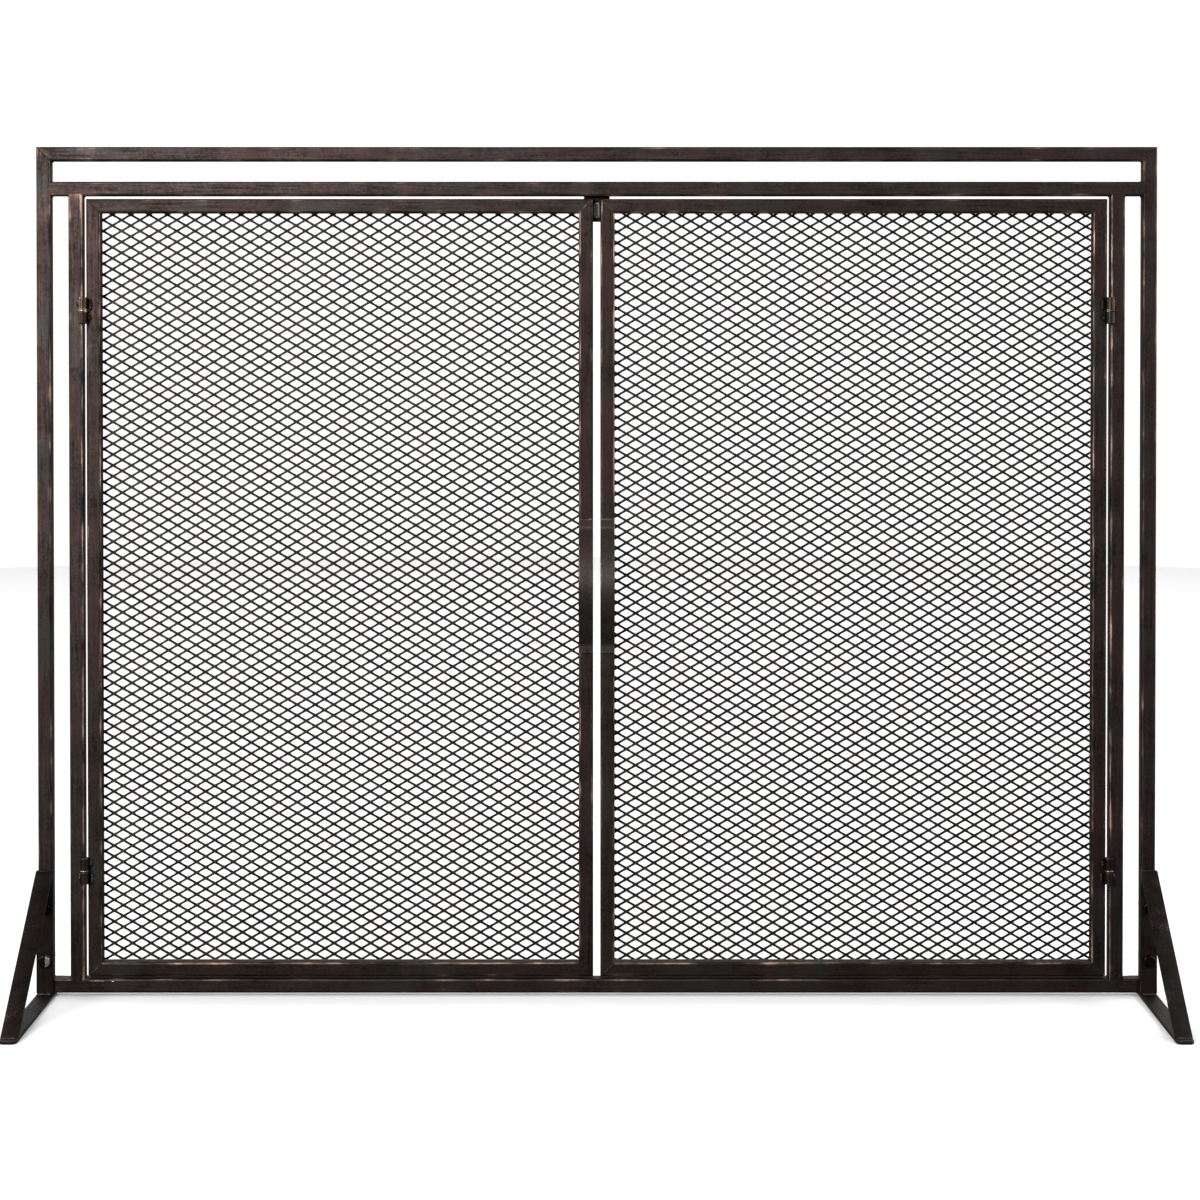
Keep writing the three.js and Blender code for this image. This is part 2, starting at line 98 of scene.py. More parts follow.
# Grains of the finish, each with its scale per metre and its share of the light and dark.
BRUSH_GRAIN, BRUSH_SHARE = 1150, 0.34
BAND_GRAIN, BAND_SHARE = 330, 0.16
CLOUD_GRAIN, CLOUD_SHARE = 38, 0.22
MOTTLE_GRAIN, MOTTLE_SHARE = 420, 0.28
TINT_GRAIN = 15
TINT_STRENGTH = 0.6
PIT_GRAIN = 2100
PIT_DEPTH = 0.8
RUBBED_FROM, RUBBED_TO, RUBBED_COVER = 0.78, 1.3, 0.85
BRIGHT_FROM, BRIGHT_TO, BRIGHT_COVER = 1.15, 1.6, 0.7
PAINT_BUMP = 0.06 * MM


def shade(code):
    """Linear colour of a six-digit sRGB code."""
    channels = [int(code[i:i + 2], 16) / 255 for i in (0, 2, 4)]
    return (*(c / 12.92 if c <= 0.04045 else ((c + 0.055) / 1.055) ** 2.4 for c in channels), 1.0)


def add_node(tree, kind, inputs, **settings):
    """Adds a shader node. An input is a number, a colour or another node's socket."""
    made = tree.nodes.new("ShaderNode" + kind)
    for key, value in settings.items():
        setattr(made, key, value)
    for key, value in inputs.items():
        if isinstance(value, bpy.types.NodeSocket):
            tree.links.new(value, made.inputs[key])
        else:
            made.inputs[key].default_value = value
    return made.outputs[0]


def new_material(name):
    """A material with its node tree, its main shader and the coordinates of the rest pose."""
    material = bpy.data.materials.new(name)
    material.use_nodes = True
    tree = material.node_tree
    shader = tree.nodes["Principled BSDF"]
    place = tree.nodes.new("ShaderNodeTexCoord").outputs["Object"]
    return material, tree, shader, place


def grain(tree, place, scale, detail=3.0, stretch=(1.0, 1.0, 1.0), start=0.0, rough=0.55):
    """Noise at a scale per metre, drawn out along an axis by a stretch below one."""
    laid = add_node(tree, "Mapping", {"Vector": place, "Scale": stretch, "Location": (start,) * 3})
    inputs = {"Vector": laid, "Scale": scale, "Detail": detail, "Roughness": rough}
    return add_node(tree, "TexNoise", inputs)


def span(tree, value, low, high, start=0.0, end=1.0):
    """Where the value stands between low and high, as a number from start to end."""
    inputs = {"Value": value, "From Min": low, "From Max": high, "To Min": start, "To Max": end}
    return add_node(tree, "MapRange", inputs)


def sums(tree, operation, first, second):
    """Joins two values by an operation of arithmetic."""
    return add_node(tree, "Math", {0: first, 1: second}, operation=operation)


def blend_colour(tree, share, first, second):
    """A colour between the first and the second, by the share of the second."""
    return add_node(tree, "MixRGB", {"Fac": share, "Color1": first, "Color2": second})


def lay_bump(tree, shader, height, depth, strength=1.0):
    """Raises the surface by up to a depth in metres."""
    bump = add_node(tree, "Bump", {"Height": height, "Distance": depth, "Strength": strength})
    tree.links.new(bump, shader.inputs["Normal"])


def bronze_paint(name, along, dark=PAINT_DARK, light=PAINT_LIGHT, rub=0.0, metal=1.0, rough=0.5):
    """Black-bronze lacquer brushed along one axis. The mesh attribute "wear" rubs it back to copper; where it
    is set highest it also paints a highlight.
    """
    material, tree, shader, place = new_material(name)
    stretch = tuple(BRUSH_STRETCH if axis == along else 1.0 for axis in "xyz")
    brush = grain(tree, place, BRUSH_GRAIN, 4, stretch)
    band_stretch = tuple(max(s, 2 * BRUSH_STRETCH) for s in stretch)
    band = grain(tree, place, BAND_GRAIN, 3, band_stretch, start=3.1)
    cloud = grain(tree, place, CLOUD_GRAIN, 5, start=7.7)
    tint = grain(tree, place, TINT_GRAIN, 3, start=1.3)
    pits = grain(tree, place, PIT_GRAIN, 2, start=5.9)
    mottle = grain(tree, place, MOTTLE_GRAIN, 4, start=2.3)

    tone = sums(tree, "MULTIPLY", brush, BRUSH_SHARE)
    for layer, share in ((band, BAND_SHARE), (cloud, CLOUD_SHARE), (mottle, MOTTLE_SHARE)):
        tone = sums(tree, "ADD", tone, sums(tree, "MULTIPLY", layer, share))
    colour = blend_colour(tree, span(tree, tone, 0.40, 0.60), shade(dark), shade(light))
    reddish = span(tree, tint, 0.50, 0.64, 0.0, TINT_STRENGTH)
    greenish = span(tree, tint, 0.48, 0.36, 0.0, TINT_STRENGTH)
    colour = blend_colour(tree, reddish, colour, shade(PAINT_RED))
    colour = blend_colour(tree, greenish, colour, shade(PAINT_GREEN))

    # The wear attribute holds real rubbing and, on the inner posts' door-side corners, a painted highlight.
    wear = tree.nodes.new("ShaderNodeAttribute")
    wear.attribute_name = "wear"
    patch = sums(tree, "MULTIPLY", sums(tree, "SUBTRACT", cloud, 0.5), 2.6)
    scuff = sums(tree, "MULTIPLY", sums(tree, "SUBTRACT", brush, 0.5), 2.0)
    worn = sums(tree, "ADD", sums(tree, "ADD", wear.outputs["Fac"], patch), scuff)
    rubbed = span(tree, worn, RUBBED_FROM - rub, RUBBED_TO - rub)
    bright = span(tree, worn, BRIGHT_FROM - rub, BRIGHT_TO - rub)
    colour = blend_colour(tree, sums(tree, "MULTIPLY", rubbed, RUBBED_COVER), colour, shade(RUB_COPPER))
    colour = blend_colour(tree, sums(tree, "MULTIPLY", bright, BRIGHT_COVER), colour, shade(RUB_BRIGHT_AND_HIGHLIGHT))
    speck = span(tree, pits, 0.70, 0.76)
    colour = blend_colour(tree, sums(tree, "MULTIPLY", speck, 0.5), colour, shade(RUB_COPPER))
    tree.links.new(colour, shader.inputs["Base Color"])
    if metal < 1.0:
        tree.links.new(span(tree, rubbed, 0, 1, metal, 1.0), shader.inputs["Metallic"])
    else:
        shader.inputs["Metallic"].default_value = metal
    roughness = sums(tree, "ADD", span(tree, tone, 0.35, 0.65, rough + 0.1, rough - 0.06),
                     sums(tree, "MULTIPLY", rubbed, 0.05))
    tree.links.new(roughness, shader.inputs["Roughness"])
    height = sums(tree, "ADD", brush, sums(tree, "MULTIPLY", speck, -PIT_DEPTH))
    lay_bump(tree, shader, sums(tree, "ADD", height, sums(tree, "MULTIPLY", cloud, 1.5)), PAINT_BUMP)
    return material


def build_mesh(name, points, faces, wear):
    """A smooth-shaded mesh with its sharp edges marked and its wear stored per vertex."""
    mesh = bpy.data.meshes.new(name)
    mesh.from_pydata([tuple(p) for p in points], [], faces)
    mesh.update()
    layer = mesh.attributes.new("wear", "FLOAT", "POINT")
    layer.data.foreach_set("value", np.asarray(wear, np.float32))
    turned = bmesh.new()
    turned.from_mesh(mesh)
    bmesh.ops.recalc_face_normals(turned, faces=turned.faces)
    turned.to_mesh(mesh)
    turned.free()
    mesh.shade_smooth()
    mesh.set_sharp_from_angle(angle=SMOOTH_ANGLE)
    return mesh


def add_piece(name, mesh, material, body, slot, *nodes):
    """Puts a mesh in the scene, riding on a body in place of the named CAD nodes."""
    piece = bpy.data.objects.new(name, mesh)
    bpy.context.scene.collection.objects.link(piece)
    mesh.materials.append(material)
    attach(piece, body)
    if nodes:
        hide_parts(*nodes)
    return piece


def rounded_outline(half_u, half_v, corner, flat_wear=FLAT_WEAR):
    """Points round a rectangle with rounded corners as (u, v, wear); the corners are fully worn."""
    rows = []
    for quarter in range(4):
        reach_u, reach_v = (half_u, half_v) if quarter % 2 == 0 else (half_v, half_u)
        local = []
        for step in range(ARC_STEPS + 1):
            angle = step / ARC_STEPS * math.pi / 2
            wear = 1.0 - CORNER_FADE * abs(2 * step / ARC_STEPS - 1)
            in_u, in_v = corner * (1 - math.cos(angle)), corner * (1 - math.sin(angle))
            local.append((reach_u - in_u, reach_v - in_v, wear))
        flat = reach_u - corner
        for distance, wear in flat_wear:
            if distance < flat * 0.9:
                local.append((flat - distance, reach_v, wear))
        local.append((0.0, reach_v, 0.0))
        for distance, wear in reversed(flat_wear):
            if distance < flat * 0.9:
                local.append((distance - flat, reach_v, wear))
        turn = quarter * math.pi / 2
        for u, v, wear in local:
            across = round(math.cos(turn)) * u - round(math.sin(turn)) * v
            up = round(math.sin(turn)) * u + round(math.cos(turn)) * v
            rows.append((across, up, wear))
    return rows


def skin_rings(rings):
    """Joins rings of equal point counts into faces, with a flat cap at each end."""
    count, size = len(rings), len(rings[0])
    faces = []
    for ring in range(count - 1):
        for i in range(size):
            j = (i + 1) % size
            a, b = ring * size, (ring + 1) * size
            faces.append((a + i, a + j, b + j, b + i))
    faces.append(tuple(range(size))[::-1])
    faces.append(tuple(range((count - 1) * size, count * size)))
    return faces


def tube_stations(length):
    """Distances along a tube, each with its lean towards the first and last end and its wear."""
    stations = [(s, lean, 0.0, wear) for s, lean, wear in END_RINGS]
    first, last = END_RINGS[-1][0], length - END_RINGS[-1][0]
    pieces = max(2, round((last - first) / RING_SPACING))
    stations += [(first + (last - first) * i / pieces, 0.0, 0.0, 0.0) for i in range(1, pieces)]
    stations += [(length - s, 0.0, lean, wear) for s, lean, wear in reversed(END_RINGS)]
    return stations


def tube_mesh(node, along, slopes=(0, 0), edges=(1.0, 1.0), patches=(0.0, 0.0), mitre=1.0):
    """A square tube in the place of a CAD node. A slope of 1 or -1 mitres that end, and a square end is run
    under the corner of the tube that it meets, as a joint ground flush. Edges are how worn the corners on the
    low and the high side are; on the inner posts the value beside the door is raised to paint a highlight
    along that corner. Patches are how far the brush has bared each end's flats, and mitre how worn the edge
    of a mitred end is."""
    low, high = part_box(node)
    run = "xyz".index(along)
    lean_axis = 2 if along == "x" else 0
    middle = (low + high) / 2
    half = (high[1] - low[1]) / 2
    start_slope, end_slope = slopes
    sunk = [0.0 if slope or node.endswith("outer_post") else FLUSH_REACH for slope in slopes]
    start = low[run] + half * abs(start_slope) - sunk[0]
    length = high[run] - half * abs(end_slope) + sunk[1] - start
    outline = rounded_outline(half, half, TUBE_CORNER)
    if along == "z":
        outline = outline[::-1]
    points, wear, rings = [], [], []
    for s, start_lean, end_lean, end_wear in tube_stations(length):
        ring = []
        for u, v, corner_wear_and_highlight in outline:
            point = [0.0, middle[1] + v, 0.0]
            point[lean_axis] = middle[lean_axis] + u
            point[run] = start + s + u * (start_slope * start_lean + end_slope * end_lean)
            ring.append(len(points))
            points.append(point)
            share = (u / half + 1) / 2
            # Scaled by the edge values, which on the inner posts also paint a highlight on the corner beside
            # the door.
            corner_wear_and_highlight *= edges[0] * (1 - share) + edges[1] * share
            cut = start_slope * (s < length / 2) or end_slope * (s > length / 2)
            mitred = (mitre if cut else SQUARE_END_WEAR) * end_wear
            patch = patches[0] * max(0, 1 - s / PATCH_REACH)
            patch += patches[1] * max(0, 1 - (length - s) / PATCH_REACH)
            wear.append(max(corner_wear_and_highlight, mitred) + 0.3 * min(corner_wear_and_highlight, mitred) + patch)
        rings.append(ring)
    return build_mesh(node + "_tube", points, skin_rings(rings), wear)


upright_paint = bronze_paint("frame_paint_upright", "z")
level_paint = bronze_paint("frame_paint_level", "x")

# Tube, the axis it runs along, the slope of each end, the wear of each edge and of each end's flats. On the
# inner posts the high value on the edge beside the door also paints a highlight along that corner.
FRAME_TUBES = (
    ("left_outer_post", "z", (0, -1), (0.7, 1.1), (0.0, 0.35)),
    ("right_outer_post", "z", (0, 1), (0.9, 0.6), (0.0, 0.1)),
    # The corner beside each door is set most worn: rubbed copper and, on top of it, a painted highlight.
    ("left_inner_post", "z", (0, 0), (0.8, 1.35), (0.2, 0.65)),
    ("right_inner_post", "z", (0, 0), (1.3, 0.8), (0.15, 0.35)),
    ("top_rail", "x", (-1, 1), (1.0, 0.85), (0.35, 0.1)),
    ("second_rail", "x", (0, 0), (1.0, 0.85), (0.25, 0.1)),
    ("bottom_rail", "x", (0, 0), (0.55, 0.8), (0.35, 0.1)),
)
for node, along, slopes, edges, patches in FRAME_TUBES:
    paint = upright_paint if along == "z" else level_paint
    mesh = tube_mesh(node, along, slopes, edges, patches)
    add_piece(node + "_tube", mesh, paint, "frame", "frame_paint", node)


# Frame welds: the joints are welded all round. Front and back are ground flush, which leaves a thin raised
# line along each mitre; inside the corners and along the bottom rail the beads stay as they were laid.
BEAD_SIDES = 9
BEAD_RIPPLE = 1.3 * MM
BEAD_STEP = 0.35 * MM
# How quickly a bead's width comes back to its mean, and how deep its ripples are.
BEAD_SETTLE = 0.35
RIPPLE_DEPTH = 0.14
weld_random = np.random.default_rng(11)


def bead_rings(path, outward, width, height, lumps=0.16):
    """A rippled weld bead along a path of points, wide across it and low along outward."""
    path = np.array(path, float)
    spans = np.linalg.norm(np.diff(path, axis=0), axis=1)
    reach = np.concatenate([[0], np.cumsum(spans)])
    steps = max(6, int(reach[-1] / BEAD_STEP))
    places = np.linspace(0, reach[-1], steps + 1)
    line = np.stack([np.interp(places, reach, path[:, k]) for k in range(3)], axis=1)
    outward = np.array(outward, float)
    outward /= np.linalg.norm(outward)
    rows, wear = [], []
    swell = 1.0
    for i, (s, centre) in enumerate(zip(places, line)):
        along = line[min(i + 1, steps)] - line[max(i - 1, 0)]
        along /= np.linalg.norm(along)
        across = np.cross(along, outward)
        across /= np.linalg.norm(across)
        swell += BEAD_SETTLE * (1 + lumps * weld_random.normal() - swell)
        end = min(s, reach[-1] - s) / width
        taper = math.sqrt(max(0.02, 1 - (1 - min(end, 1.0)) ** 2))
        crest = 0.5 + 0.5 * math.cos(2 * math.pi * s / BEAD_RIPPLE)
        size = swell * taper * (1 - RIPPLE_DEPTH + RIPPLE_DEPTH * crest)
        for k in range(BEAD_SIDES):
            angle = 2 * math.pi * k / BEAD_SIDES
            rise = math.sin(angle)
            rows.append(centre + across * math.cos(angle) * width / 2 * size + outward * rise * height * size)
            wear.append(0.45 + 0.3 * crest + 0.25 * max(0.0, rise))
    return rows, wear


def bead_mesh(name, beads):
    """Several weld beads as one mesh. Each bead is (path, outward, width, height)."""
    points, wear, faces = [], [], []
    for path, outward, width, height in beads:
        rows, worn = bead_rings(path, outward, width, height)
        rings = [rows[i:i + BEAD_SIDES] for i in range(0, len(rows), BEAD_SIDES)]
        faces += [tuple(i + len(points) for i in face) for face in skin_rings(rings)]
        points += rows
        wear += worn
    return build_mesh(name, points, faces, wear)


weld_paint = bronze_paint("weld_paint", "", "110e0c", "2c2420", rub=-0.22, rough=0.5)
bright_weld = bronze_paint("bright_weld_paint", "", "2a1f19", "5a4334", rub=0.2, rough=0.4)

post_low, post_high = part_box("left_outer_post")
rail_low, rail_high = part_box("top_rail")
second_low, second_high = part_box("second_rail")
bottom_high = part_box("bottom_rail")[1]
inner_low, inner_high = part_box("left_inner_post")
FRONT, BACK = post_low.y, post_high.y
MITRE_WIDTH = 1.5 * MM
MITRE_HEIGHT = 0.22 * MM
MITRE_INSET = 1.2 * MM
FILLET_WIDTH = 2.2 * MM
FILLET_HEIGHT = 1.1 * MM
FILLET_INSET = 1.6 * MM

frame_beads = []
for _, hand in SIDES:
    corner_out = (hand * (rail_high.x - MITRE_INSET), rail_high.z - MITRE_INSET)
    corner_in = (hand * abs(post_high.x), rail_low.z)
    for y, outward in ((FRONT, -1), (BACK, 1)):
        path = [(corner_out[0], y, corner_out[1]), (corner_in[0], y, corner_in[1])]
        frame_beads.append((path, (0, outward, 0), MITRE_WIDTH, MITRE_HEIGHT))
    # Fillets inside the corners: outer post to each rail, and inner post to the rails above and below it.
    inner_faces = (abs(inner_low.x), abs(inner_high.x))
    fillets = [
        (abs(post_high.x), -1, rail_low.z, -1),
        (abs(post_high.x), -1, second_high.z, 1),
        (abs(post_high.x), -1, second_low.z, -1),
        (abs(post_high.x), -1, bottom_high.z, 1),
        (inner_faces[0], 1, second_low.z, -1),
        (inner_faces[1], -1, second_low.z, -1),
        (inner_faces[0], 1, bottom_high.z, 1),
        (inner_faces[1], -1, bottom_high.z, 1),
    ]
    for x, x_sign, z, z_sign in fillets:
        path = [(hand * x, FRONT + FILLET_INSET, z), (hand * x, BACK - FILLET_INSET, z)]
        frame_beads.append((path, (hand * x_sign, 0, z_sign), FILLET_WIDTH, FILLET_HEIGHT))
add_piece("frame_welds", bead_mesh("frame_welds", frame_beads), weld_paint, "frame", "frame_paint")


# Bright beads: short runs of bare weld along the bottom rail beside the left posts, and three scratches of
# the grinder across the top left mitre. Both were left without paint.
BRIGHT_WIDTH = 1.0 * MM
BRIGHT_HEIGHT = 0.3 * MM
BRIGHT_SUNK = 0.25 * MM
SCRATCH_WIDTH = 0.7 * MM
SCRATCH_HEIGHT = 0.12 * MM
SCRATCH_SLOPE = 0.72
SCRATCH_INSET = 1.5 * MM
SCRATCH_DROP = 2.6 * MM
# Start and end along the rail and how far below its top edge, in millimetres.
BRIGHT_RUNS = ((-478.4, -465.2, 1.2), (-449.5, -436.0, 1.8), (-431.0, -427.5, 2.1))
# Distance from the corner and length, in millimetres.
SCRATCHES = ((2.4, 8.5), (4.6, 6.0), (7.2, 4.0))

bright_beads = []
for start_x, end_x, drop in BRIGHT_RUNS:
    run_z = bottom_high.z - drop * MM
    path = [(x * MM, FRONT + BRIGHT_SUNK, run_z) for x in (start_x, end_x)]
    bright_beads.append((path, (0, -1, 0.6), BRIGHT_WIDTH, BRIGHT_HEIGHT))
for shift, length in SCRATCHES:
    near = (post_low.x + SCRATCH_INSET + shift * MM, rail_high.z - SCRATCH_DROP)
    far = (near[0] + length * MM, near[1] - SCRATCH_SLOPE * length * MM)
    path = [(x, FRONT, z) for x, z in (near, far)]
    bright_beads.append((path, (0, -1, 0), SCRATCH_WIDTH, SCRATCH_HEIGHT))
bright_runs = bead_mesh("frame_bright_welds", bright_beads)
add_piece("frame_bright_welds", bright_runs, bright_weld, "frame", "frame_paint")


# Weld spatter: small balls of steel thrown off by the welding, stuck to the front faces of the posts near
# their joints and painted over with the rest.
SPATTER_COUNT = 34
SPATTER_SIZE = (0.35 * MM, 0.8 * MM)
SPATTER_ASIDE = 5 * MM
SPATTER_ON_RIGHT = 0.4
SPATTER_ON_INNER = 0.5
SPATTER_AT_TOP = 0.6
HALF_TUBE = 6.35 * MM


def spatter_mesh(name, spots):
    """Low round beads, each (place, outward, radius)."""
    beads = []
    for place, outward, radius in spots:
        path = [tuple(place), (place[0] + radius * 0.6, place[1], place[2] + radius * 0.6)]
        beads.append((path, outward, radius * 1.6, radius * 0.7))
    return bead_mesh(name, beads)


spots = []
for _ in range(SPATTER_COUNT):
    hand = 1 if weld_random.random() < SPATTER_ON_RIGHT else -1
    x = hand * (abs(post_high.x) + HALF_TUBE + weld_random.uniform(-SPATTER_ASIDE, SPATTER_ASIDE))
    if weld_random.random() < SPATTER_ON_INNER:
        x = hand * (abs(inner_low.x) - HALF_TUBE + weld_random.uniform(-SPATTER_ASIDE, SPATTER_ASIDE))
    if weld_random.random() < SPATTER_AT_TOP:
        z = second_low.z - weld_random.uniform(1, 40) * MM
    else:
        z = bottom_high.z + weld_random.uniform(4, 60) * MM
    spots.append(((x, FRONT, z), (0, -1, 0), weld_random.uniform(*SPATTER_SIZE)))
add_piece("frame_spatter", spatter_mesh("frame_spatter", spots), weld_paint, "frame", "frame_paint")


# Feet: three flat bars each, sawn to length with their corners rounded on a grinder. The strut is welded to
# the base and to the top of the upright; two bolts through the upright and the outer post hold the foot.
BAR_EDGE = 0.45 * MM
BAR_THICKNESS = 3.0 * MM
BASE_CORNER = 4.5 * MM
UPRIGHT_CORNER = 1.5 * MM
# The rubbed band inside a plate's edge.
PLATE_FADE = 1.2 * MM
STRUT_PAINT = ("0f0d0c", "241d1a")
foot_paint = bronze_paint("foot_paint", "y", *STRUT_PAINT, rub=-0.12)
upright_foot_paint = bronze_paint("foot_paint_upright", "z", *STRUT_PAINT, rub=-0.12)


def plate_mesh(name, outline, origin, across, up, through, thickness, edge=BAR_EDGE, inset_wear=0.9):
    """A flat plate of (u, v) outline points with small rounded edges, laid by its three directions."""
    outline = np.array(outline, float)
    after, before = np.roll(outline, -1, 0), np.roll(outline, 1, 0)
    out_after = np.stack([(after - outline)[:, 1], -(after - outline)[:, 0]], 1)
    out_before = np.stack([(outline - before)[:, 1], -(outline - before)[:, 0]], 1)
    out_after /= np.linalg.norm(out_after, axis=1)[:, None]
    out_before /= np.linalg.norm(out_before, axis=1)[:, None]
    outward = out_after + out_before
    outward /= (1 + (out_after * out_before).sum(1))[:, None]
    # How far in from the outline, how deep and how worn, from one face round the edge to the other.
    levels = [(edge + PLATE_FADE, 0.0, 0.05), (edge, 0.0, 0.5)]
    levels += [(edge * 0.3, edge * 0.3, inset_wear), (0.0, edge, 0.55)]
    levels += [(0.0, thickness - edge, 0.55), (edge * 0.3, thickness - edge * 0.3, inset_wear)]
    levels += [(edge, thickness, 0.5), (edge + PLATE_FADE, thickness, 0.05)]
    origin, across, up, through = (np.array(v, float) for v in (origin, across, up, through))
    points, wear, rings = [], [], []
    for inset, depth, worn in levels:
        ring = []
        for uv in outline - outward * inset:
            ring.append(len(points))
            points.append(origin + across * uv[0] + up * uv[1] + through * depth)
            wear.append(worn)
        rings.append(ring)
    faces = skin_rings(rings)
    if np.dot(np.cross(across, up), through) < 0:
        faces = [face[::-1] for face in faces]
    return build_mesh(name, points, faces, wear)


def rounded_plate(half_u, half_v, corner, arc_steps=7):
    """Counter-clockwise outline of a rectangle with rounded corners and points along its long sides."""
    rows = []
    for quarter, (sign_u, sign_v) in enumerate(((1, 1), (-1, 1), (-1, -1), (1, -1))):
        for step in range(arc_steps + 1):
            angle = (quarter + step / arc_steps) * math.pi / 2
            rows.append((sign_u * (half_u - corner) + corner * math.cos(angle),
                         sign_v * (half_v - corner) + corner * math.sin(angle)))
    return rows


# Bolts: six-millimetre hexagon bolts through the foot and the outer post, with a plain nut behind. The heads
# are painted with the screen; a spanner has chipped the lower left one.
HEX_FLATS = 10 * MM
HEX_POINTS = 24
HEX_ROUND = 0.97
HEX_DISH = 0.45
THREAD_PITCH = 1.0 * MM
THREAD_ROOT = 0.88
BOLT_RADIUS = 3.0 * MM


def hex_head(name, centre, flats, height, inward=1.0, chamfer=0.55 * MM):
    """A hexagon head standing on the plane y = centre y, rising towards -Y, with a chamfered face."""
    corner = flats / math.sqrt(3)
    points, wear, rings = [], [], []
    # Rise, how far the ring is a hexagon (1), a circle (0) or the dished middle (-2), and wear.
    levels = [(0.0, 1.0, 0.3), (height - chamfer, 1.0, 0.8), (height - 0.2 * chamfer, 0.5, 0.9)]
    levels += [(height, 0.0, 0.8), (height, -2.0, 0.15)]
    for rise, hexness, worn in levels:
        ring = []
        for k in range(HEX_POINTS):
            angle = 2 * math.pi * (k + 0.5) / HEX_POINTS
            fold = (angle + math.pi / 6) % (math.pi / 3) - math.pi / 6
            hexagon = flats / 2 / math.cos(fold)
            circle = flats / 2 * HEX_ROUND
            if hexness >= 1:
                radius = hexagon
            elif hexness >= 0:
                radius = min(hexagon, circle + (corner - circle) * hexness * 0.5)
            else:
                radius = circle * HEX_DISH
            ring.append(len(points))
            points.append((centre[0] + radius * math.cos(angle), centre[1] - inward * rise,
                           centre[2] + radius * math.sin(angle)))
            wear.append(worn)
        rings.append(ring)
    faces = skin_rings(rings)
    if inward < 0:
        faces = [face[::-1] for face in faces]
    return build_mesh(name, points, faces, wear)


def turned_mesh(name, centre, axis, profile, sides=40):
    """A turned shape: profile rows are (distance along the axis, radius, wear)."""
    run = "xyz".index(axis)
    one, two = [(1, 2), (2, 0), (0, 1)][run]
    points, wear, rings = [], [], []
    for along, radius, worn in profile:
        ring = []
        for k in range(sides):
            angle = 2 * math.pi * k / sides
            point = list(centre)
            point[run] += along
            point[one] += radius * math.cos(angle)
            point[two] += radius * math.sin(angle)
            ring.append(len(points))
            points.append(point)
            wear.append(worn)
        rings.append(ring)
    faces = skin_rings(rings)
    return build_mesh(name, points, faces, wear)


def plated_steel(name, code, rough=0.3, edge_code=None, metal=1.0):
    """Bare zinc-bright steel with fine scratches and a slight haze, its edges lighter if told so."""
    material, tree, shader, place = new_material(name)
    haze = grain(tree, place, 420, 4)
    scratch = grain(tree, place, 2600, 3, (1.0, 0.12, 0.3), start=2.0)
    tone = sums(tree, "ADD", sums(tree, "MULTIPLY", haze, 0.6), sums(tree, "MULTIPLY", scratch, 0.4))
    darker = tuple(c * 0.55 for c in shade(code)[:3]) + (1.0,)
    colour = blend_colour(tree, span(tree, tone, 0.35, 0.62), darker, shade(code))
    if edge_code:
        wear = tree.nodes.new("ShaderNodeAttribute")
        wear.attribute_name = "wear"
        colour = blend_colour(tree, span(tree, wear.outputs["Fac"], 0.3, 0.8), colour, shade(edge_code))
    tree.links.new(colour, shader.inputs["Base Color"])
    tree.links.new(span(tree, tone, 0.35, 0.65, rough + 0.16, rough - 0.08), shader.inputs["Roughness"])
    shader.inputs["Metallic"].default_value = metal
    lay_bump(tree, shader, scratch, 0.03 * MM)
    return material


bolt_paint = bronze_paint("bolt_paint", "", "0d0b0a", "201b18", rub=-0.25, rough=0.2)
bare_steel = plated_steel("bare_steel", "83827d")
CHIP_FROM = 1.2 * MM
CHIP_FADE = 2.4 * MM


def chipped_paint(name, centre, bare_from):
    """Black paint that a spanner has chipped off one side of a bolt head, down to the bare steel."""
    material, tree, shader, place = new_material(name)
    split = tree.nodes.new("ShaderNodeSeparateXYZ")
    tree.links.new(place, split.inputs[0])
    aside = sums(tree, "SUBTRACT", split.outputs["X"], centre)
    aside = span(tree, aside, bare_from - CHIP_FADE, bare_from + CHIP_FADE)
    chips = grain(tree, place, 700, 4)
    bare = span(tree, sums(tree, "ADD", aside, sums(tree, "SUBTRACT", chips, 0.5)), 0.52, 0.6)
    haze = grain(tree, place, 1600, 3, start=2.0)
    steel = blend_colour(tree, span(tree, haze, 0.35, 0.65), shade("4b4a47"), shade("a3a29c"))
    tree.links.new(blend_colour(tree, bare, shade("141110"), steel), shader.inputs["Base Color"])
    tree.links.new(span(tree, bare, 0, 1, 0.24, 0.34), shader.inputs["Roughness"])
    shader.inputs["Metallic"].default_value = 0.9
    lay_bump(tree, shader, sums(tree, "SUBTRACT", haze, bare), 0.06 * MM)
    return material


def bolt_tail(name, node):
    """The threaded end behind the nut, from the post's back face on."""
    low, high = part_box(node)
    length = high.y - BACK
    centre = ((low.x + high.x) / 2, BACK, (low.z + high.z) / 2)
    profile = [(0.0, BOLT_RADIUS * 0.92, 0.4)]
    turns = int(length / (THREAD_PITCH / 2))
    for k in range(1, turns):
        radius, worn = (BOLT_RADIUS, 0.7) if k % 2 else (BOLT_RADIUS * THREAD_ROOT, 0.1)
        profile.append((k * THREAD_PITCH / 2, radius, worn))
    profile += [(length - 0.3 * MM, BOLT_RADIUS * THREAD_ROOT, 0.5), (length, BOLT_RADIUS * 0.7, 0.5)]
    return turned_mesh(name, centre, "y", profile, 32)


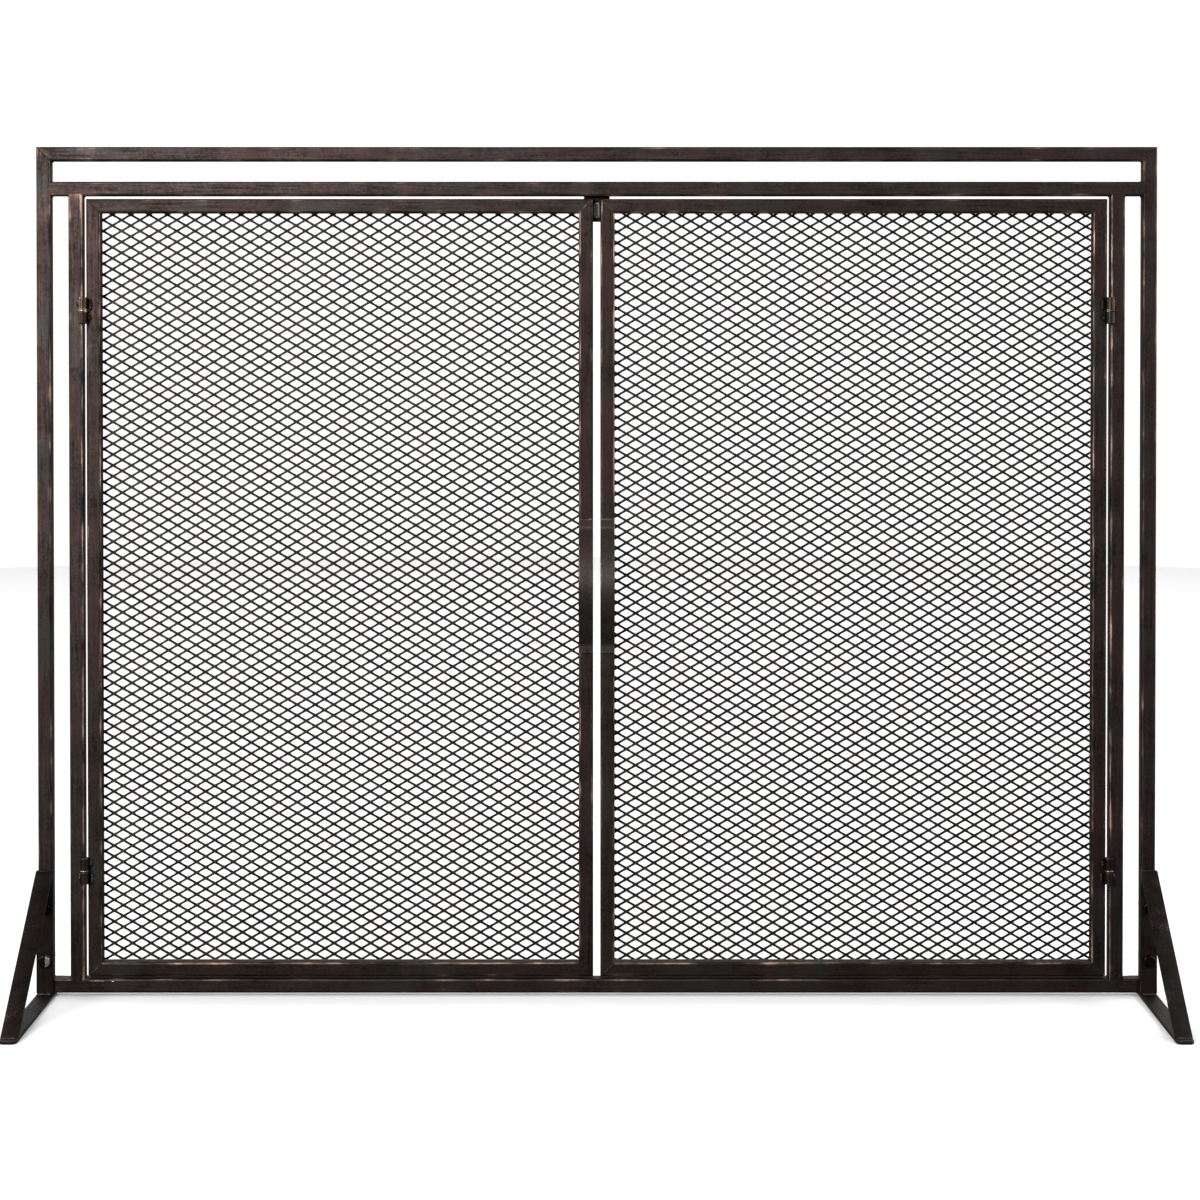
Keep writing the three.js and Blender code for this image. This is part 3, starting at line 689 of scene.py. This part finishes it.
for side, _ in SIDES:
    low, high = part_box(f"{side}_foot_base")
    middle = (low + high) / 2
    outline = rounded_plate((high.x - low.x) / 2, (high.y - low.y) / 2, BASE_CORNER)
    base = plate_mesh(f"{side}_foot_base_bar", outline, (middle.x, middle.y, low.z),
                      (1, 0, 0), (0, 1, 0), (0, 0, 1), high.z - low.z)
    add_piece(f"{side}_foot_base_bar", base, foot_paint, "frame", "foot_paint", f"{side}_foot_base")

    node = f"{side}_foot_upright"
    low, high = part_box(node)
    middle = (low + high) / 2
    outline = rounded_plate((high.x - low.x) / 2, (high.z - low.z) / 2, UPRIGHT_CORNER)
    upright = plate_mesh(node + "_bar", outline, (middle.x, high.y, middle.z),
                         (1, 0, 0), (0, 0, 1), (0, -1, 0), high.y - low.y)
    add_piece(node + "_bar", upright, upright_foot_paint, "frame", "foot_paint", node)
    upright_front = low.y

    # The strut's side view is a slanted strip with a level foot and an upright end.
    low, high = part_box(f"{side}_foot_strut")
    slope = math.atan2(high.z - low.z, high.y - low.y)
    outline = [
        (low.y, low.z),
        (low.y + BAR_THICKNESS / math.sin(slope), low.z),
        (high.y, high.z - BAR_THICKNESS / math.cos(slope)),
        (high.y, high.z),
    ]
    strut = plate_mesh(f"{side}_foot_strut_bar", outline, (low.x, 0, 0),
                       (0, 1, 0), (0, 0, 1), (1, 0, 0), high.x - low.x)
    add_piece(f"{side}_foot_strut_bar", strut, foot_paint, "frame", "foot_paint", f"{side}_foot_strut")

    # Beads across the bars: in front of and behind the strut's foot, over its top, in front of the upright
    # and behind the post. Each has its y and z, the way it faces along Y, its width and its height.
    ends_x = (low.x + 1.5 * MM, high.x - 1.5 * MM)
    places = (
        (low.y - 0.6 * MM, low.z + 0.2 * MM, -1, 2.6 * MM, 1.1 * MM),
        (low.y + 4.6 * MM, low.z, 1, 2.4 * MM, 1.2 * MM),
        (high.y, high.z, -1, 2.4 * MM, 0.8 * MM),
        (upright_front - 0.4 * MM, low.z, -1, 3.0 * MM, 1.4 * MM),
        (BACK + 0.4 * MM, low.z, 1, 3.0 * MM, 1.4 * MM),
    )
    beads = [([(x, y, z) for x in ends_x], (0, way, 1), width, height) for y, z, way, width, height in places]
    add_piece(f"{side}_foot_welds", bead_mesh(f"{side}_foot_welds", beads), weld_paint, "frame", "foot_paint")

    for level in ("lower", "upper"):
        node = f"{side}_foot_bolt_{level}"
        low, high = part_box(node)
        centre = ((low.x + high.x) / 2, upright_front, (low.z + high.z) / 2)
        chipped = side == "left" and level == "lower"
        finish = chipped_paint("chipped_paint", centre[0], CHIP_FROM) if chipped else bolt_paint
        head = hex_head(node + "_head", centre, HEX_FLATS, centre[1] - low.y)
        add_piece(node + "_head", head, finish, "frame", "bolt_steel", node)
        add_piece(node + "_tail", bolt_tail(node + "_tail", node), bare_steel, "frame", "bolt_steel")
        nut = f"{side}_foot_nut_{level}"
        low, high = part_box(nut)
        body = hex_head(nut + "_body", (centre[0], BACK, centre[2]), HEX_FLATS, high.y - BACK, inward=-1.0)
        add_piece(nut + "_body", body, bare_steel, "frame", "bolt_steel", nut)


# Doors: two light frames of the same square tube, four pieces each, mitred and welded at the corners and
# ground flush front and back. They are finished like the frame but a little darker.
DOOR_PAINT = ("120f0d", "322925")
# How worn the tubes' edges are towards the mesh and towards the outside, and the edge of each mitre.
WORN_INSIDE, WORN_OUTSIDE = 1.15, 0.75
DOOR_MITRE_WEAR = 0.5
SEAM_INSET = 1.4 * MM
SEAM_WIDTH = 1.2 * MM
SEAM_HEIGHT = 0.14 * MM
door_upright_paint = bronze_paint("door_paint_upright", "z", *DOOR_PAINT)
door_level_paint = bronze_paint("door_paint_level", "x", *DOOR_PAINT)

for side, hand in SIDES:
    body = f"{side}_door"
    towards_low, towards_high = (WORN_INSIDE, WORN_OUTSIDE), (WORN_OUTSIDE, WORN_INSIDE)
    tubes = (
        ("hinge_stile", "z", (-hand, hand), towards_high if hand < 0 else towards_low),
        ("meeting_stile", "z", (hand, -hand), towards_low if hand < 0 else towards_high),
        ("top_rail", "x", (-1, 1), towards_low),
        ("bottom_rail", "x", (1, -1), towards_high),
    )
    for name, along, slopes, edges in tubes:
        node = f"{side}_door_{name}"
        paint = door_upright_paint if along == "z" else door_level_paint
        mesh = tube_mesh(node, along, slopes, edges, mitre=DOOR_MITRE_WEAR)
        add_piece(node + "_tube", mesh, paint, body, "door_paint", node)
    outer_low, outer_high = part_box(f"{side}_door_top_rail")
    bottom_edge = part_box(f"{side}_door_bottom_rail")[0].z
    tube = outer_high.z - outer_low.z
    beads = []
    for x, x_in in ((outer_low.x, 1), (outer_high.x, -1)):
        for z, z_in in ((outer_high.z, -1), (bottom_edge, 1)):
            for y, outward in ((FRONT, -1), (BACK, 1)):
                path = [(x + x_in * reach, y, z + z_in * reach) for reach in (SEAM_INSET, tube)]
                beads.append((path, (0, outward, 0), SEAM_WIDTH, SEAM_HEIGHT))
    add_piece(f"{side}_door_welds", bead_mesh(f"{side}_door_welds", beads), weld_paint, body, "door_paint")


# Mesh panels: expanded steel sheet, slit and stretched into diamonds whose strands stand at an angle to the
# sheet, sprayed matt black-brown and tacked to the backs of the door tubes.
CELL_WIDTH = 16.32 * MM
CELL_HEIGHT = 9.69 * MM
# How far a bond stands from the middle of each panel, where the shear happened to cut the sheet.
CUT_SHIFT = {"left": (0.96 * MM, 1.66 * MM), "right": (3.3 * MM, 0.75 * MM)}
STRAND = 2.1 * MM
STRAND_DEPTH = 0.6 * MM
STRAND_TWIST = 0.4 * MM
BOND_LENGTH = 2.1 * MM
SHEET_SET_BACK = 0.6 * MM
WELD_REACH = 0.001 * MM


def mesh_paint_material():
    """Thin matt paint with a little warm bloom and fine roughness."""
    material, tree, shader, place = new_material("mesh_paint")
    bloom = grain(tree, place, 120, 4)
    fine = grain(tree, place, 1900, 3, start=4.0)
    colour = blend_colour(tree, span(tree, bloom, 0.38, 0.66), shade("100d0c"), shade("241e1c"))
    colour = blend_colour(tree, span(tree, fine, 0.62, 0.75, 0.0, 0.5), colour, shade("54443a"))
    tree.links.new(colour, shader.inputs["Base Color"])
    tree.links.new(span(tree, fine, 0.3, 0.7, 0.5, 0.62), shader.inputs["Roughness"])
    shader.inputs["Metallic"].default_value = 0.9
    lay_bump(tree, shader, fine, 0.05 * MM)
    return material


mesh_paint = mesh_paint_material()


def opening_outline():
    """The eight points of one opening and of the diamond round it, centred on the opening."""
    half_w, half_h = CELL_WIDTH / 2, CELL_HEIGHT / 2
    diamond = [(half_w, 0), (half_w / 2, half_h / 2), (0, half_h), (-half_w / 2, half_h / 2)]
    diamond += [(-x, -z) for x, z in diamond]
    side_reach = half_w - BOND_LENGTH
    top_reach = half_h - STRAND * 0.62
    shoulder = (half_w * 0.46, half_h * 0.54 - STRAND * 0.5)
    opening = [(side_reach, 0), shoulder, (0, top_reach), (-shoulder[0], shoulder[1])]
    opening += [(-x, -z) for x, z in opening]
    return np.array(diamond), np.array(opening)


def grille_mesh(node, shift):
    """Expanded metal over a CAD panel's outline, cut straight at its edges."""
    low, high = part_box(node)
    diamond, opening = opening_outline()
    columns = int((high.x - low.x) / CELL_WIDTH / 2) + 2
    rows = int((high.z - low.z) / CELL_HEIGHT / 2) + 2
    middle = (low + high) / 2
    across, up = range(-columns, columns + 1), range(-rows, rows + 1)
    centres = [(i * CELL_WIDTH, j * CELL_HEIGHT) for i in across for j in up]
    centres += [(x + CELL_WIDTH / 2, z + CELL_HEIGHT / 2) for x, z in centres]
    centres = np.array(centres) + (middle.x + shift[0], middle.z + shift[1])
    inside = (abs(centres[:, 0] - middle.x) < (high.x - low.x + CELL_WIDTH) / 2)
    inside &= abs(centres[:, 1] - middle.z) < (high.z - low.z + CELL_HEIGHT) / 2
    centres = centres[inside]

    def lean(outline, share):
        """A strand's upper edge, which is the bottom of the opening above it, leans back."""
        return -share * STRAND_TWIST * outline[:, 1] / (CELL_HEIGHT / 2)

    flat = []
    for outline, share, face in ((diamond, 0.0, 0), (opening, 1.0, 0), (opening, 1.0, 1), (diamond, 0.0, 1)):
        depth = lean(outline, share) + face * STRAND_DEPTH
        flat.append(np.stack([outline[:, 0], depth, outline[:, 1]], 1))
    cell = np.concatenate(flat)
    offsets = np.stack([centres[:, 0], np.full(len(centres), low.y + SHEET_SET_BACK), centres[:, 1]], 1)
    points = (offsets[:, None, :] + cell[None]).reshape(-1, 3)
    # Points beyond the sheared edge are drawn back onto it.
    points[:, 0] = points[:, 0].clip(low.x, high.x)
    points[:, 2] = points[:, 2].clip(low.z, high.z)
    cell_faces = []
    for ring in range(3):
        for i in range(8):
            j = (i + 1) % 8
            cell_faces.append((ring * 8 + i, ring * 8 + j, ring * 8 + 8 + j, ring * 8 + 8 + i))
    starts = np.arange(len(centres)) * len(cell)
    faces = (starts[:, None, None] + np.array(cell_faces)[None]).reshape(-1, 4)
    # Neighbouring cells share their points along the middle of the strand between them.
    rounded = (points / WELD_REACH + 0.137).round()
    _, first, shared = np.unique(rounded, axis=0, return_index=True, return_inverse=True)
    points, shared, faces = points[first], shared.ravel(), shared.ravel()[faces]
    # The sheared edge, where a cell has no neighbour, is closed from front to back.
    ends = np.stack([np.arange(8), (np.arange(8) + 1) % 8], 1)
    front = (starts[:, None, None] + ends[None]).reshape(-1, 2)
    _, where, uses = np.unique(np.sort(shared[front], 1), axis=0, return_index=True, return_counts=True)
    edge = front[where[uses == 1]]
    behind = edge + 24
    rim = shared[np.stack([edge[:, 1], edge[:, 0], behind[:, 0], behind[:, 1]], 1)]
    faces = np.concatenate([faces, rim])
    faces = [list(dict.fromkeys(face)) for face in faces.tolist()]
    mesh = bpy.data.meshes.new(node + "_grille")
    mesh.from_pydata(points.tolist(), [], [face for face in faces if len(face) > 2])
    mesh.update()
    return mesh


for side, _ in SIDES:
    node = f"{side}_door_mesh"
    grille = grille_mesh(node, CUT_SHIFT[side])
    add_piece(f"{side}_door_grille", grille, mesh_paint, f"{side}_door", "mesh_paint", node)


# Hinges: weld-on barrels, two halves on a hidden pin with a ring between them. One half is welded to the
# inner post and the other to the door; both are worn to copper, the door halves less.
hinge_bronze = bronze_paint("hinge_bronze", "z", "18120e", "43342a", rub=0.08, rough=0.34)
hinge_dark = bronze_paint("hinge_dark", "z", "120d0c", "2e211d", rub=-0.1, rough=0.4)
RIM = 0.5 * MM
PIN_RADIUS = 1.8 * MM
RING_PROUD = 0.3 * MM
# Width and height of the weld on each half, and of the run beside the barrel.
POST_WELD = (3.6 * MM, 1.3 * MM)
DOOR_WELD = (5.6 * MM, 2.4 * MM)
BESIDE_WELD = (3.4 * MM, 1.5 * MM)
BESIDE_ASIDE = 1.7 * MM

for side, hand in SIDES:
    for level in ("top", "bottom"):
        for half in ("post", "door"):
            node = f"{side}_{level}_hinge_{half}_knuckle"
            low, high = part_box(node)
            washer_low, washer_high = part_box(f"{side}_{level}_hinge_washer")
            radius = (washer_high.x - washer_low.x) / 2
            centre_x = (washer_low.x + washer_high.x) / 2
            centre_y = (washer_low.y + washer_high.y) / 2
            upper = low.z > washer_low.z
            start, sign = (low.z, 1) if upper else (high.z, -1)
            length = high.z - low.z
            profile = [
                (0.0, PIN_RADIUS, 0.1),
                (0.0, radius - RIM, 0.7),
                (RIM * 0.7, radius, 0.95),
                (RIM * 2.2, radius, 0.35),
                (length / 2, radius, 0.25),
                (length - RIM * 2.2, radius, 0.35),
                (length - RIM, radius, 0.95),
                (length - RIM * 0.2, radius - RIM * 0.6, 0.8),
                (length, radius - RIM * 1.8, 0.4),
                (length, PIN_RADIUS * 0.5, 0.2),
            ]
            if sign < 0:
                profile = [(-along, r, worn) for along, r, worn in profile[::-1]]
            mesh = turned_mesh(node + "_barrel", (centre_x, centre_y, start), "z", profile, 48)
            body = "frame" if half == "post" else f"{side}_door"
            finish = hinge_bronze if half == "post" else hinge_dark
            add_piece(node + "_barrel", mesh, finish, body, "hinge_bronze", node)

            # The weld lump between the barrel and the tube that it is fixed to.
            away = hand if half == "post" else -hand
            x = centre_x + away * (radius + 0.6 * MM)
            y = FRONT - 0.5 * MM
            z0, z1 = start + sign * 1.6 * MM, start + sign * (length - 1.8 * MM)
            path = [(x, y, z0), (x + away * 0.5 * MM, y, (z0 + z1) / 2), (x, y, z1)]
            lumps = [(path, (0, -1, 0), *(POST_WELD if half == "post" else DOOR_WELD))]
            if half == "door":
                # The weld runs on along the stile, clear of the post's half of the barrel.
                beside_low, beside_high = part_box(f"{side}_{level}_hinge_post_knuckle")
                x += away * BESIDE_ASIDE
                path = [(x, y, beside_low.z - 1.0 * MM), (x, y, beside_high.z - 1.5 * MM)]
                lumps.append((path, (0, -1, 0), *BESIDE_WELD))
            lump = bead_mesh(node + "_weld", lumps)
            add_piece(node + "_weld", lump, weld_paint, body, "hinge_bronze")

        node = f"{side}_{level}_hinge_washer"
        low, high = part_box(node)
        thick = high.z - low.z
        profile = [
            (0.0, PIN_RADIUS, 0.2),
            (0.0, radius + RING_PROUD / 3, 0.8),
            (thick * 0.25, radius + RING_PROUD, 1.0),
            (thick * 0.75, radius + RING_PROUD, 1.0),
            (thick, radius + RING_PROUD / 3, 0.8),
            (thick, PIN_RADIUS, 0.2),
        ]
        ring = turned_mesh(node + "_ring", (centre_x, centre_y, low.z), "z", profile, 48)
        ring_body = f"{side}_door" if level == "top" else "frame"
        add_piece(node + "_ring", ring, hinge_bronze, ring_body, "hinge_bronze", node)


# Handles: one bowed strap on each meeting stile, pressed from bar as wide as the stile, its edges eased, and
# welded across both ends, where the line of the ground weld shows copper.
HANDLE_STEPS = 64
HANDLE_PAD = 8 * MM
HANDLE_THICKNESS = 2.4 * MM
HANDLE_EDGE = 0.8 * MM
HANDLE_WELD = (2.4 * MM, 1.0 * MM)
HANDLE_WELD_INSET = 0.6 * MM
HANDLE_FLAT_WEAR = ((0.5 * MM, 0.28), (1.4 * MM, 0.06))
handle_paint = bronze_paint("handle_paint", "z", "141110", "342c28", rub=-0.05, metal=0.85, rough=0.46)


def handle_mesh(name, node):
    """The strap swept along its bow, with a rounded section and worn edges."""
    low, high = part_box(node)
    length = high.z - low.z
    bow = high.y - low.y - HANDLE_THICKNESS
    middle_x = (low.x + high.x) / 2
    outline = rounded_outline((high.x - low.x) / 2, HANDLE_THICKNESS / 2, HANDLE_EDGE, HANDLE_FLAT_WEAR)
    share = np.linspace(0, 1, HANDLE_STEPS + 1)
    along = ((share - HANDLE_PAD / length) / (1 - 2 * HANDLE_PAD / length)).clip(0, 1)
    line_y = high.y - bow * np.sin(np.pi * along) - HANDLE_THICKNESS / 2
    line_z = low.z + share * length
    points, wear, rings = [], [], []
    for i in range(HANDLE_STEPS + 1):
        a, b = max(i - 1, 0), min(i + 1, HANDLE_STEPS)
        run = np.array([line_y[b] - line_y[a], line_z[b] - line_z[a]])
        run /= np.linalg.norm(run)
        normal = (run[1], -run[0])
        ring = []
        end = min(i, HANDLE_STEPS - i)
        for u, v, worn in outline:
            ring.append(len(points))
            points.append((middle_x + u, line_y[i] + v * normal[0], line_z[i] + v * normal[1]))
            wear.append(max(worn * 0.9, {0: 1.0, 1: 0.5}.get(end, 0.0)))
        rings.append(ring)
    faces = [face[::-1] for face in skin_rings(rings)]
    return build_mesh(name, points, faces, wear)


for side, _ in SIDES:
    node = f"{side}_door_handle"
    body = f"{side}_door"
    add_piece(node + "_strap", handle_mesh(node + "_strap", node), handle_paint, body, "door_paint", node)
    low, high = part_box(node)
    beads = []
    for z, z_out in ((low.z, -1), (high.z, 1)):
        ends_x = (low.x + HANDLE_WELD_INSET, high.x - HANDLE_WELD_INSET)
        path = [(x, high.y - 0.4 * MM, z) for x in ends_x]
        beads.append((path, (0, -1, z_out), *HANDLE_WELD))
    add_piece(node + "_welds", bead_mesh(node + "_welds", beads), bright_weld, body, "door_paint")


# Catch: a stepped bracket welded to the back of the second rail holds a small moulded case with two screws;
# a round-ended magnet shows in the gap between the doors.
def moulded_plastic(name, code):
    """Black moulded plastic with a fine sparked texture."""
    material, tree, shader, place = new_material(name)
    shader.inputs["Specular IOR Level"].default_value = 0.2
    spark = grain(tree, place, 2400, 3)
    cloud = grain(tree, place, 150, 3)
    lighter = tuple(c * 1.9 for c in shade(code)[:3]) + (1.0,)
    colour = blend_colour(tree, span(tree, cloud, 0.35, 0.7), shade(code), lighter)
    tree.links.new(colour, shader.inputs["Base Color"])
    tree.links.new(span(tree, spark, 0.3, 0.7, 0.5, 0.66), shader.inputs["Roughness"])
    lay_bump(tree, shader, spark, 0.04 * MM)
    return material


catch_plastic = moulded_plastic("catch_plastic", "070606")
magnet_steel = plated_steel("magnet_steel", "767873", 0.4, "bdbdb6", 0.5)
bracket_paint = bronze_paint("bracket_paint", "x", *STRUT_PAINT, rub=-0.1)
CASE_CORNER = 1.5 * MM
MAGNET_PROUD = 0.6 * MM
MAGNET_EDGE = 0.8 * MM
BRACKET_SHEET = 1.5 * MM
BRACKET_EDGE = 0.25 * MM
BRACKET_CLEAR = 0.3 * MM
SCREW_RIM = 0.5 * MM
SCREW_DOME = 1.6 * MM


def pill_outline(width, length, steps=12):
    """Outline of a bar with half-round ends."""
    radius = width / 2
    rows = []
    for start, lift in ((0, length / 2 - radius), (math.pi, radius - length / 2)):
        for step in range(steps + 1):
            angle = start + math.pi * step / steps
            rows.append((radius * math.cos(angle), lift + radius * math.sin(angle)))
    return rows


low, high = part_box("catch_case")
middle = (low + high) / 2
outline = rounded_plate((high.x - low.x) / 2, (high.z - low.z) / 2, CASE_CORNER)
case = plate_mesh("catch_case_moulding", outline, (middle.x, high.y, middle.z),
                  (1, 0, 0), (0, 0, 1), (0, -1, 0), high.y - low.y)
add_piece("catch_case_moulding", case, catch_plastic, "frame", "catch_plastic", "catch_case")

low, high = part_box("catch_magnet")
middle = (low + high) / 2
magnet = plate_mesh("catch_magnet_bar", pill_outline(high.x - low.x, high.z - low.z),
                    (middle.x, high.y, middle.z), (1, 0, 0), (0, 0, 1), (0, -1, 0),
                    high.y - low.y + MAGNET_PROUD, edge=MAGNET_EDGE)
add_piece("catch_magnet_bar", magnet, magnet_steel, "frame", "magnet", "catch_magnet")

low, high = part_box("catch_bracket")
step_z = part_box("catch_case")[1].z + BRACKET_CLEAR
step_y = high.y - BRACKET_SHEET
step_top = step_z + BRACKET_SHEET
flange_back = low.y + BRACKET_SHEET
outline = [
    (low.y, step_z), (step_y, step_z), (step_y, low.z), (high.y, low.z),
    (high.y, step_top), (flange_back, step_top), (flange_back, high.z), (low.y, high.z),
]
bracket = plate_mesh("catch_bracket_plate", outline, (low.x, 0, 0), (0, 1, 0), (0, 0, 1), (1, 0, 0),
                     high.x - low.x, edge=BRACKET_EDGE)
add_piece("catch_bracket_plate", bracket, bracket_paint, "frame", "foot_paint", "catch_bracket")

plate_back = high.y
for side, _ in SIDES:
    node = f"catch_screw_{side}"
    low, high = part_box(node)
    radius = (high.x - low.x) / 2
    profile = [(0.0, radius * 0.96, 0.4), (SCREW_RIM, radius, 0.8)]
    for angle in (0.4, 0.8, 1.1, 1.3):
        profile.append((SCREW_RIM + SCREW_DOME * math.sin(angle), radius * math.cos(angle), 0.5))
    centre = ((low.x + high.x) / 2, plate_back, (low.z + high.z) / 2)
    head = turned_mesh(node + "_head", centre, "y", profile, 32)
    add_piece(node + "_head", head, bare_steel, "frame", "bolt_steel", node)


# Hinge pins: plain round steel, driven into the half of each barrel that sits lower and turning in the other.
# Nothing of them shows while the screen is together, so they keep the shape of their solids.
for side, _ in SIDES:
    for level in ("top", "bottom"):
        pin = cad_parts[f"{side}_{level}_hinge_pin"]
        pin.data.materials.clear()
        pin.data.materials.append(bare_steel)


# Setting: a plain pale floor, a pale round wall far off and a dim room, lit by soft lamps. The main one
# stands high on the left, a weaker one on the right, a strip at each side and one over the far floor.
def plain_surface(name, code, rough=0.6, glow=0.0):
    """A pale matt surface, clouded very slightly, which may glow white."""
    material, tree, shader, place = new_material(name)
    cloud = grain(tree, place, 3, 2)
    near = tuple(c * 0.985 for c in shade(code)[:3]) + (1.0,)
    tree.links.new(blend_colour(tree, cloud, near, shade(code)), shader.inputs["Base Color"])
    shader.inputs["Roughness"].default_value = rough
    shader.inputs["Specular IOR Level"].default_value = 0.2
    if glow:
        shader.inputs["Emission Color"].default_value = shade("ffffff")
        shader.inputs["Emission Strength"].default_value = glow
    return material


def stage_sheet(name, corners, faces, material):
    """A part of the setting, not of the screen."""
    mesh = bpy.data.meshes.new(name)
    mesh.from_pydata(corners, [], faces)
    sheet = bpy.data.objects.new(name, mesh)
    bpy.context.scene.collection.objects.link(sheet)
    mesh.materials.append(material)
    return sheet


FLOOR_REACH = 7.0
WALL_RADIUS = 4.0
WALL_HEIGHT = 4.5
WALL_SIDES = 96
WALL_GLOW = 0.96
ROOM_LIGHT = 0.25
floor_corners = [(-FLOOR_REACH, -FLOOR_REACH, 0), (FLOOR_REACH, -FLOOR_REACH, 0),
                 (FLOOR_REACH, FLOOR_REACH, 0), (-FLOOR_REACH, FLOOR_REACH, 0)]
turns = [2 * math.pi * i / WALL_SIDES for i in range(WALL_SIDES)]
wall_ring = [(WALL_RADIUS * math.sin(a), WALL_RADIUS * math.cos(a)) for a in turns]
wall_corners = [(x, y, z) for z in (0, WALL_HEIGHT) for x, y in wall_ring]
wall_faces = []
for i in range(WALL_SIDES):
    after = (i + 1) % WALL_SIDES
    wall_faces.append((i, after, WALL_SIDES + after, WALL_SIDES + i))
floor_white = plain_surface("floor_white", "c5c5c5")
wall_white = plain_surface("wall_white", "4a4a4a", glow=WALL_GLOW)
floor_sheet = stage_sheet("floor", floor_corners, [(0, 1, 2, 3)], floor_white)
wall_sheet = stage_sheet("round_wall", wall_corners, wall_faces, wall_white)
# The dark tubes mirror the lamps and the dim room, not the pale floor and wall.
floor_sheet.visible_glossy = False
wall_sheet.visible_glossy = False
world = bpy.data.worlds.new("studio")
world.use_nodes = True
world.node_tree.nodes["Background"].inputs["Color"].default_value = (1.0, 1.0, 1.0, 1.0)
world.node_tree.nodes["Background"].inputs["Strength"].default_value = ROOM_LIGHT
bpy.context.scene.world = world


def soft_lamp(name, place, target, size, power, spread=180):
    """A rectangular lamp of a size in metres and a power in watts, turned to its target."""
    lamp = bpy.data.lights.new(name, "AREA")
    lamp.shape = "RECTANGLE"
    lamp.spread = math.radians(spread)
    lamp.size, lamp.size_y = size
    lamp.energy = power
    lamp_object = bpy.data.objects.new(name, lamp)
    bpy.context.scene.collection.objects.link(lamp_object)
    lamp_object.location = place
    away = np.array(place) - np.array(target)
    away /= np.linalg.norm(away)
    yaw = math.atan2(away[0], -away[1])
    lamp_object.rotation_euler = (math.acos(away[2]), 0, yaw)


centre_z = (cad_box[0].z + cad_box[1].z) / 2
soft_lamp("key_lamp", (-1.35, -2.3, 1.4), (-0.1, 0, centre_z + 0.1), (1.2, 1.2), 42, 90)
soft_lamp("fill_lamp", (2.3, -1.9, 1.5), (0, 0, centre_z), (1.0, 1.2), 20, 90)
soft_lamp("left_strip", (-2.6, 0.2, 1.1), (0, 0, centre_z), (0.8, 1.4), 14, 80)
soft_lamp("right_strip", (2.6, 0.2, 1.1), (0, 0, centre_z), (0.8, 1.4), 18, 80)
soft_lamp("far_floor_lamp", (0, 2.6, 2.2), (0, 2.6, 0), (5.0, 2.0), 112)

# Camera: a 75 mm lens straight in front of the screen, a little below its top rail, turned down by less than
# a degree and shifted so that the screen stands above the middle of the picture.
CAMERA_HEIGHT = 0.6084
CAMERA_AWAY = 2.2079
CAMERA_X = 0.0029
CAMERA_PITCH = math.radians(-0.855)
camera_data = bpy.data.cameras.new("camera")
camera_data.lens = 75
camera_data.sensor_width = 36
camera_data.shift_y = -0.21
camera_data.clip_end = 40
camera = bpy.data.objects.new("camera", camera_data)
bpy.context.scene.collection.objects.link(camera)
camera.location = (CAMERA_X, FRONT - CAMERA_AWAY, CAMERA_HEIGHT)
camera.rotation_euler = (math.pi / 2 + CAMERA_PITCH, 0, 0)
bpy.context.scene.camera = camera
bpy.context.scene.view_settings.view_transform = "Standard"
